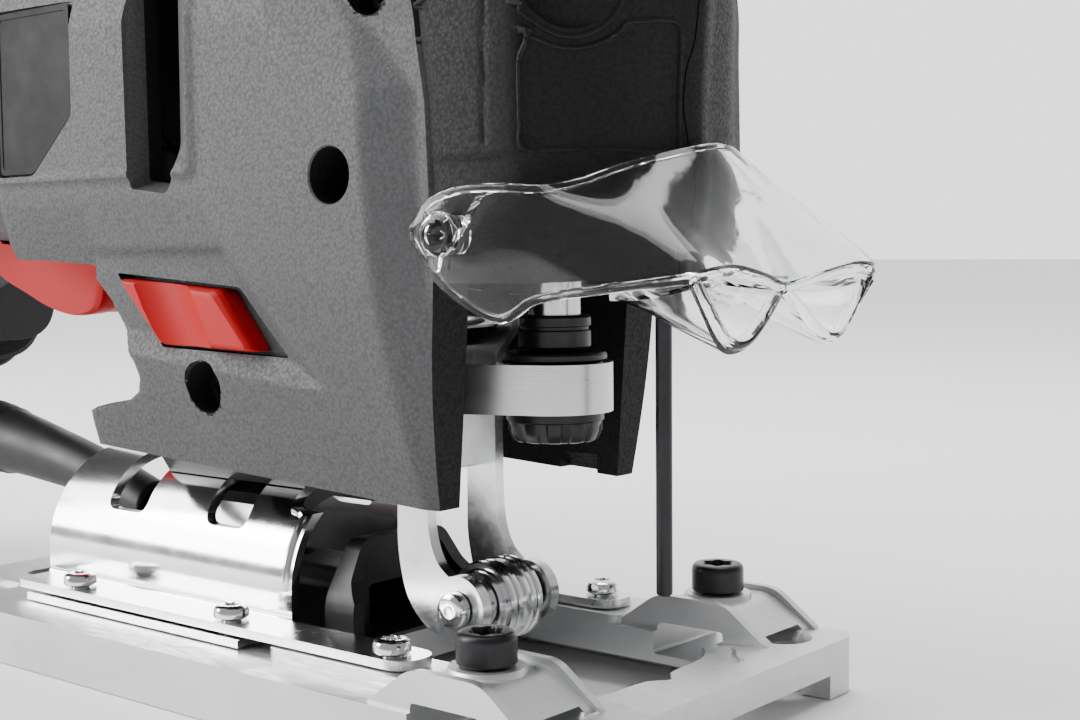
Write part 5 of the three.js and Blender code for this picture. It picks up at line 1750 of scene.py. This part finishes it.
# ---------------------------------------------------------------- chip cover
@dataclass
class ChipCover:
    """Clear visor round the nose with two open spouts in front, and the clips in its ears."""

    wall: float = 1.5
    ear: tuple[float, float] = (-25.5, 63.5)
    crown: tuple[tuple[float, float, float], ...] = (
        (-2.2, 0, 74.9), (-3.6, 5.9, 74.1), (-6.6, 15.5, 71.8), (-9.6, 21.7, 69.5), (-12.4, 26.4, 68.9),
        (-17.2, 28.6, 69.2), (-23.3, 29.3, 69.1), (-28.2, 29.7, 67.7), (-30.2, 29.9, 65.6))
    brow: tuple[tuple[float, float, float], ...] = (
        (8.3, 0, 55.9), (9.6, 8, 57.2), (10.0, 16, 58.2), (9.4, 22.6, 57.6), (-2.0, 27.0, 56.2),
        (-11.5, 27.9, 54.9), (-17.6, 28.7, 52.3), (-26.0, 29.5, 56.6), (-30.0, 29.9, 62.0))
    mouth: tuple[tuple[float, float, float], ...] = (
        (8.3, 0.7, 55.7), (8.7, 4.4, 53.0), (8.9, 8.2, 50.3), (8.9, 10.8, 49.2), (8.9, 13.6, 49.2),
        (9.0, 16.0, 50.6), (9.2, 19.4, 54.0), (9.4, 22.6, 57.4))
    back: tuple[tuple[float, float, float], ...] = (
        (-5.0, 3.8, 57.2), (-5.4, 5.9, 56.8), (-5.8, 8.6, 56.3), (-6, 10.8, 56.1), (-6, 13.6, 56.1),
        (-5.6, 16.0, 56.2), (-4.4, 20.4, 56.4), (-1.6, 25.6, 56.4))

    def both_sides(self, half: Sequence[tuple[float, float, float]], count: int) -> Array:
        """Curve through a half edge and its mirror image, from the right ear to the left."""
        drawn = np.array(half)
        right = drawn[:0:-1] * (1, -1, 1)
        return curve_through(np.concatenate([right, drawn]), count)

    def sheet(self, name: str, upper: Array, lower: Array, bulge: float, datum: Datum) -> Piece:
        """Skins two edge curves: point = lower + (upper - lower) v, plus bulge 4v(1-v) along the normal.

        Args:
            name: The sheet's name.
            upper: Points of one edge.
            lower: As many points of the other.
            bulge: How far the middle stands out, in millimetres.
            datum: Where the maker's datum is in the model.

        Returns:
            A closed sheet with the cover's wall.
        """
        v = np.linspace(0, 1, 22)[None, :, None]
        face = lower[:, None] + (upper - lower)[:, None] * v
        along_edge = np.gradient(face, axis=0)
        across = np.gradient(face, axis=1)
        normal = np.cross(along_edge, across)
        normal = normal / np.maximum(np.linalg.norm(normal, axis=2, keepdims=True), 1e-9)
        face = face + normal * bulge * 4 * v * (1 - v)
        outside = face + normal * self.wall
        rings = np.concatenate([face, outside[:, ::-1]], axis=1)
        return lofted(name, rings, datum)

    def cover(self, finishes: Finishes, datum: Datum) -> None:
        """Joins the visor, two V-shaped spouts and the beads along every edge, and bores the ears."""
        count = 161
        upper, lower = self.both_sides(self.crown, count), self.both_sides(self.brow, count)
        visor = self.sheet("chip_cover_clear", upper, lower, 0.9, datum)
        parts = []
        for side in Side:
            flip = (1, side.value, 1)
            mouth = curve_through(np.array(self.mouth) * flip, 60)
            back = curve_through(np.array(self.back) * flip, 60)
            if side is Side.RIGHT:
                mouth, back = mouth[::-1], back[::-1]
            parts.append(self.sheet(f"spout_{side.word}", mouth, back, 0.3, datum))
            parts.append(tube(f"mouth_bead_{side.word}", mouth, 0.85, datum, 12))
        shift = np.array([0.35, 0, 0.25])
        edge = np.concatenate([upper + shift, lower[::-1] + shift * 0.6])
        parts.append(tube("edge_bead", edge, 0.68, datum, 12, closed=True))
        shape_with(visor, parts, "UNION")
        ears = []
        for side in Side:
            ears.append(rod(f"ear_hole_{side.word}", Axis.Y, 2.95, *side.span(24, 36),
                            self.ear, datum, 40))
            slit = rounded([(-19.4, 68.4), (-17.6, 68.8), (-22.4, 61.4), (-23.2, 61.6)], 0.3)
            ears.append(prism(f"ear_slit_{side.word}", slit, Axis.Y, *side.span(24, 36),
                              datum))
        shape_with(visor, ears, "DIFFERENCE")
        smoothed(visor, 30)
        fit_out(visor, finishes.clear, "cover", "chip_cover", "chip_cover")

    def clip(self, side: Side, finishes: Finishes, datum: Datum) -> None:
        """Makes an ear's clip: stepped stud, two swept wings and a hanging tab."""
        x, z = self.ear
        s = side.value
        profile = [(0, 25.4), (2.2, 25.4), (2.6, 25.9), (2.6, 31.0), (3.1, 31.2), (3.1, 31.7), (2.3, 31.9),
                   (2.2, 32.4),
                   (1.4, 32.5), (1.2, 31.9), (0, 31.8)]
        stud = turned(f"cover_clip_{side.word}_moulded", [(r, s * y) for r, y in profile], Axis.Y, (x, z),
                      datum, 64)
        near, far = sorted((s * 31.2, s * 32.0))
        wing = rounded([(x - 1.9, z + 3.4), (x - 0.6, z + 1.8), (x + 1.9, z + 1.9), (x + 4.4, z + 0.4),
                        (x + 3.7, z - 0.7), (x + 1.0, z - 1.8), (x + 0.4, z - 5.0), (x - 1.5, z - 4.7),
                        (x - 1.6, z - 1.4), (x - 2.2, z + 0.6)], 0.5)
        blade = prism("wings", wing, Axis.Y, near, far, datum)
        shape_with(stud, [blade], "UNION")
        soften(stud, 0.16, 2)
        node = f"cover_clip_{side.word}"
        fit_out(stud, finishes.clear, "body", node, node)

    def build(self, finishes: Finishes, datum: Datum) -> None:
        """Makes the cover and both clips."""
        self.cover(finishes, datum)
        for side in Side:
            self.clip(side, finishes, datum)


# ---------------------------------------------------------------- controls
@dataclass
class Controls:
    """Trigger, lock slider and orbit knob."""

    pivot: tuple[float, float] = (-171.0, 66.0)
    knob: tuple[float, float] = (-72.0, 50.0)

    def trigger(self, finishes: Finishes, datum: Datum) -> None:
        """Makes the trigger: side outline carried across, narrowed and dished where the finger rests."""
        px, pz = self.pivot
        eye = np.radians(np.linspace(72, 250, 22))
        heel = np.stack([px + 3.6 * np.cos(eye), pz + 3.6 * np.sin(eye)], 1)
        under = curve_through([heel[-1], (-168.6, 60.4), (-164.4, 56.6), (-156, 53.5), (-148.2, 50.8),
                               (-141, 49.4),
                               (-134.5, 50.0), (-131.6, 52.3), (-130.7, 56.5), (-131, 61.4)], 80)
        outline = np.concatenate([[(-131, 61.4), (-164, 63.6)], heel, under[1:-1]])
        dish = 0.9 * np.exp(-((outline[:, 0] + 143) / 8.0) ** 2) * (outline[:, 1] < 57)
        edge = (outline[:, 1] < 60).astype(float)
        across = np.linspace(-10, 10, 41)
        middle = outline.mean(0)
        rings = []
        for y in across:
            round_off = np.clip(abs(y) - 8.6, 0, None) / 1.4
            shrink = 1 - 0.055 * (1 - np.sqrt(max(0.0, 1 - round_off ** 2)))
            lift = (dish * (1 - (y / 10) ** 2) + edge * 0.25 * (1 - math.cos(y * 2 * math.pi / 3.2)) / 2
                    * (abs(y) < 7))
            x, z = (middle + (outline - middle) * shrink).T
            rings.append(np.stack([x, np.full(len(x), y), z + lift], 1))
        trigger = lofted("trigger_moulded", np.array(rings), datum)
        shape_with(trigger, [rod("pin_way", Axis.Y, 1.7, -12, 12, self.pivot, datum, 40)], "DIFFERENCE")
        smoothed(trigger, 35)
        fit_out(trigger, finishes.red, "trigger", "trigger", "trigger")

    def slider(self, finishes: Finishes, datum: Datum) -> None:
        """Makes the slider: slanted block with a thumb hollow, a stem and the keeper plate inside."""
        face = np.array([(-99.7, 57.2), (-89.3, 46.7), (-66.4, 46.2), (-74.6, 55.6)])
        middle = face.mean(0)
        levels = [(-25, 0.0), (-27.9, 0.0), (-28.7, 0.3), (-29.2, 0.8), (-29.4, 1.6)]
        rings = []
        for y, inset in levels:
            toward = (middle - face) / np.linalg.norm(middle - face, axis=1, keepdims=True)
            ring = rounded(face + toward * inset * 1.5, 1.0, 8)
            rings.append(np.stack([ring[:, 0], np.full(len(ring), y), ring[:, 1]], 1))
        slider = lofted("lock_slider_moulded", np.array(rings), datum)
        lean = np.array([-84.6, -36.1])
        tilt = np.stack([lean[0] + np.array([6.0, 0, -6.5]), np.full(3, lean[1]), np.array([40.0, 51, 62])],
                        1)
        hollow = tube("thumb_hollow", curve_through(tilt, 9), 9.0, datum, 96)
        shape_with(slider, [hollow], "DIFFERENCE")
        stem = box("slider_stem", (-87, -83), (-25.5, -17), (49.3, 53.7), datum)
        keeper = box("slider_keeper", (-89.7, -80.3), (-18.2, -16.7), (47.3, 55.7), datum)
        shape_with(slider, [stem, keeper], "UNION")
        soften(slider, 0.22, 2, 25)
        fit_out(slider, finishes.red, "slider", "lock_slider", "lock_slider")

    def selector(self, finishes: Finishes, datum: Datum) -> None:
        """Makes the orbit knob: scalloped disc with a waisted grip across it."""
        scallop = 1 - 0.02 * np.abs(np.sin(6 * np.linspace(0, 2 * np.pi, 144, endpoint=False)))
        knob = turned("orbit_selector_moulded",
                      [(0, 16), (3, 16), (3, 28.2), (8.1, 28.2), (8.4, 28.5), (8.4, 30.6), (8.1, 31.2),
                       (7.6, 31.4), (0, 31.4)], Axis.Y, self.knob, datum, 144, scallop,
                      (4, 5, 6))
        x, z = self.knob
        waist = curve_through([(x - 1.7, z - 7.2), (x - 1.1, z), (x - 1.7, z + 7.2), (x, z + 7.5),
                               (x + 1.7, z + 7.2), (x + 1.1, z),
                               (x + 1.7, z - 7.2), (x, z - 7.5)], 96, closed=True)
        shape_with(knob, [prism("grip_bar", waist, Axis.Y, 31, 34.6, datum)], "UNION")
        soften(knob, 0.25, 2)
        fit_out(knob, finishes.red, "selector", "orbit_selector", "orbit_selector")

    def build(self, finishes: Finishes, datum: Datum) -> None:
        """Makes the three controls."""
        self.trigger(finishes, datum)
        self.slider(finishes, datum)
        self.selector(finishes, datum)


# ---------------------------------------------------------------- battery end
@dataclass
class BatteryEnd:
    """Receiver on the grip, the battery that slides down on it and its latch."""

    half_width: float = 37.5
    low: float = 33.0
    high: float = 147.0
    front: float = -217.3
    rear: float = -267.0

    def receiver(self, finishes: Finishes, datum: Datum) -> None:
        """Makes the receiver plate with guide rails and a window for the tongue of contacts."""
        plate = prism("receiver_plate", rounded_box((-34, 34), (41, 139), 10, 12), Axis.X, -217, -212.3,
                      datum)
        cuts = [box("tongue_window", (-218, -211), (-12, 12), (66, 112), datum)]
        for side in Side:
            span = side.span(24.5, 27.0)
            cuts.append(prism(f"rail_groove_{side.word}", rounded_box((span[0], span[1]), (50, 130), 1.0),
                              Axis.X,
                              -218, -215.6, datum))
        shape_with(plate, cuts, "DIFFERENCE")
        soften(plate, 0.5, 2)
        fit_out(plate, finishes.black, "body", "battery_receiver", "battery_receiver")

    def case(self, finishes: Finishes, datum: Datum) -> None:
        """Makes the case: rounded blocks lofted rearwards, a parting groove, flank panels and vent slots."""
        profile = [(-217.3, 4.2), (-218.2, 3.2), (-228.6, 3.0), (-229.3, 0.6), (-230.2, 0.0), (-243.0, 0.0),
                   (-243.5, 0.7),
                   (-244.5, 0.7), (-245.0, 0.0), (-260.4, 0.0), (-262.6, 0.6), (-264.6, 1.7), (-266.2, 3.4),
                   (-267.0, 5.2)]
        rings = []
        for x, inset in profile:
            ring = rounded_box((-self.half_width + inset, self.half_width - inset),
                               (self.low + inset, self.high - inset), 12.5, 14)
            rings.append(np.stack([np.full(len(ring), x), ring[:, 0], ring[:, 1]], 1))
        case = lofted("battery_case_moulded", np.array(rings), datum)
        cuts = [box("latch_seat", (-268, -258), (-15, 15), (113, 129), datum)]
        for side in Side:
            span = side.span(36.7, 40)
            cuts.append(prism(f"flank_panel_{side.word}",
                              rounded([(-260, 52), (-248, 52), (-248, 128), (-260, 128)], 2.0),
                              Axis.Y, *span, datum))
            for number in range(5):
                z = 64 + 13 * number
                cuts.append(prism(f"thumb_rib_{side.word}_{number}",
                                  rounded_box((-241.5, -232), (z, z + 4.4), 1.6),
                                  Axis.Y, *span, datum))
        for number in range(4):
            z = 49 + 9 * number
            cuts.append(prism(f"vent_{number}", rounded_box((-20, 20), (z, z + 3.2), 1.5), Axis.X, -268,
                              -265.4, datum))
        shape_with(case, cuts, "DIFFERENCE")
        soften(case, 0.35, 2, 30)
        fit_out(case, finishes.nose, "battery", "battery_case", "battery_case")

    def latch(self, finishes: Finishes, datum: Datum) -> None:
        """Makes the latch button with ribs for the thumb."""
        button = prism("battery_latch_moulded", rounded_box((-14.6, 14.6), (113.4, 128.6), 2.0), Axis.X,
                       -266.4, -261.6,
                       datum)
        ribs = [prism(f"rib_{z}", rounded_box((-11, 11), (z, z + 1.5), 0.7), Axis.X, -267, -265.8, datum)
                for z in (116.0, 119.2, 122.4, 125.6)]
        shape_with(button, ribs, "DIFFERENCE")
        soften(button, 0.3, 2)
        fit_out(button, finishes.red, "latch", "battery_latch", "battery_latch")

    def build(self, finishes: Finishes, datum: Datum) -> None:
        """Makes the receiver, the case and the latch."""
        self.receiver(finishes, datum)
        self.case(finishes, datum)
        self.latch(finishes, datum)


@dataclass
class InnerWorks:
    """Finishes of the works held inside, which keep the shape of their own model nodes."""

    def build(self, frame: dict, finishes: Finishes) -> None:
        """Gives each kept node its finish.

        Args:
            frame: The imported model.
            finishes: The tool's finishes.
        """
        dressed = {
            finishes.bronze: ("lower_bush", "upper_bush"),
            finishes.zinc: ("trigger_pin", "front_bearing", "rear_bearing"),
            # Painted shade: the gear frame is cast metal but takes the black oxide finish, so what shows of
            # it through the housing's openings reads as shade.
            finishes.oxide: ("gear_frame", "bevel_clamp_plate", "bevel_clamp_screw", "crank_gear"),
            finishes.ground: ("pinion",),
            finishes.laminated: ("motor_stator", "rotor"),
            finishes.black: ("cooling_fan", "switch_module", "contact_block"),
            finishes.board: ("control_board",),
        }
        for material, names in dressed.items():
            for name in names:
                node = frame["nodes"][name]
                node.data.materials.clear()
                node.data.materials.append(material)
                log.info("%s: finish %s", name, material.name)


# ---------------------------------------------------------------- studio and main
@dataclass
class Studio:
    """Pale floor, soft lights and the camera."""

    eye: tuple[float, float, float] = (0.2469, -0.1853, 0.07065)
    heading: float = 39.38
    pitch: float = 4.13
    roll: float = 0.51
    lens: float = 52.63

    def camera(self) -> None:
        """Sets the camera: it looks along (-sin h cos p, cos h cos p, -sin p), rolled about that line."""
        h, p, r = (math.radians(angle) for angle in (self.heading, self.pitch, self.roll))
        right = Vector((math.cos(h), math.sin(h), 0))
        ahead = Vector((-math.sin(h) * math.cos(p), math.cos(h) * math.cos(p), -math.sin(p)))
        up = right.cross(ahead)
        across = math.cos(r) * right - math.sin(r) * up
        rise = math.sin(r) * right + math.cos(r) * up
        turn = Matrix((across, rise, -ahead)).transposed().to_4x4()
        data = bpy.data.cameras.new("studio_camera")
        data.lens, data.sensor_width = self.lens, 36.0
        data.clip_start, data.clip_end = 0.005, 20.0
        camera = bpy.data.objects.new("studio_camera", data)
        camera.matrix_world = Matrix.Translation(self.eye) @ turn
        bpy.context.scene.collection.objects.link(camera)
        bpy.context.scene.camera = camera

    def light(self, name: str, place: tuple[float, float, float], aim: tuple[float, float, float],
              size: float,
              power: float) -> None:
        """Hangs one square soft light that faces a point.

        Args:
            name: The light's name.
            place: Where it hangs, in metres.
            aim: The point that it faces.
            size: Length of its side in metres.
            power: Watts.
        """
        data = bpy.data.lights.new(name, "AREA")
        data.size, data.energy = size, power
        lamp = bpy.data.objects.new(name, data)
        lamp.location = place
        lamp.rotation_euler = (Vector(aim) - Vector(place)).to_track_quat("-Z", "Y").to_euler()
        bpy.context.scene.collection.objects.link(lamp)

    def sky(self, tree: bpy.types.NodeTree) -> None:
        """Makes the surroundings: a white wall behind the tool, grey in front of it and overhead."""
        place = tree.nodes.new("ShaderNodeTexCoord")
        place.label = "direction"
        toward = tree.nodes.new("ShaderNodeVectorMath")
        toward.label = "share towards the white wall"
        toward.operation = "DOT_PRODUCT"
        toward.inputs[1].default_value = (-0.60, 0.73, -0.35)
        shade = tree.nodes.new("ShaderNodeValToRGB")
        shade.label = "grey room, white wall"
        shade.color_ramp.elements[0].position = 0.0
        shade.color_ramp.elements[0].color = (0.2, 0.2, 0.205, 1)
        shade.color_ramp.elements[1].position = 0.6
        shade.color_ramp.elements[1].color = (1, 1, 1, 1)
        back = tree.nodes["Background"]
        back.inputs["Strength"].default_value = 2.0
        tree.links.new(place.outputs["Generated"], toward.inputs[0])
        tree.links.new(toward.outputs["Value"], shade.inputs["Fac"])
        tree.links.new(shade.outputs["Color"], back.inputs["Color"])
        lay_out(tree, {"Surroundings": [place, toward, shade, back]})

    def build(self) -> None:
        """Lays the floor, lights the tool and sets the camera."""
        self.camera()
        mesh = bpy.data.meshes.new("floor")
        mesh.from_pydata([(-6, -6, -0.0002), (6, -6, -0.0002), (6, 6, -0.0002), (-6, 6, -0.0002)], [],
                         [(0, 1, 2, 3)])
        floor = bpy.data.objects.new("floor", mesh)
        bpy.context.scene.collection.objects.link(floor)
        paper = bpy.data.materials.new("pale_paper")
        paper.use_nodes = True
        shader = paper.node_tree.nodes["Principled BSDF"]
        shader.inputs["Base Color"].default_value = (0.93, 0.93, 0.93, 1)
        shader.inputs["Roughness"].default_value = 0.8
        mesh.materials.append(paper)
        world = bpy.data.worlds.new("studio")
        world.use_nodes = True
        self.sky(world.node_tree)
        bpy.context.scene.world = world
        self.light("left_softbox", (-0.72, -0.66, 0.36), (0, 0, 0.06), 0.45, 9.0)
        self.light("top_softbox", (0.0, 0.15, 0.9), (0.02, 0, 0.05), 0.6, 8.0)
        daylight = bpy.data.lights.new("daylight", "SUN")
        daylight.energy, daylight.angle = 3.2, math.radians(45)
        lamp = bpy.data.objects.new("daylight", daylight)
        lamp.rotation_euler = Vector((0.62, 0.52, -0.75)).to_track_quat("-Z", "Y").to_euler()
        bpy.context.scene.collection.objects.link(lamp)


def main() -> None:
    """Builds the tool piece by piece around the model."""
    logging.basicConfig(level=logging.INFO, format="%(name)s %(message)s")
    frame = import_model()
    datum = Datum.of_model()
    Studio().build()
    finishes = Finishes()
    for assembly in (BasePlate(), BaseHardware(), BevelBracket(), DustPath(), BladeClamp(), RollerFork(),
                     GearHousing(), ChipCover(), Controls(), BatteryEnd()):
        assembly.build(finishes, datum)
    InnerWorks().build(frame, finishes)


if __name__ == "__main__":
    main()
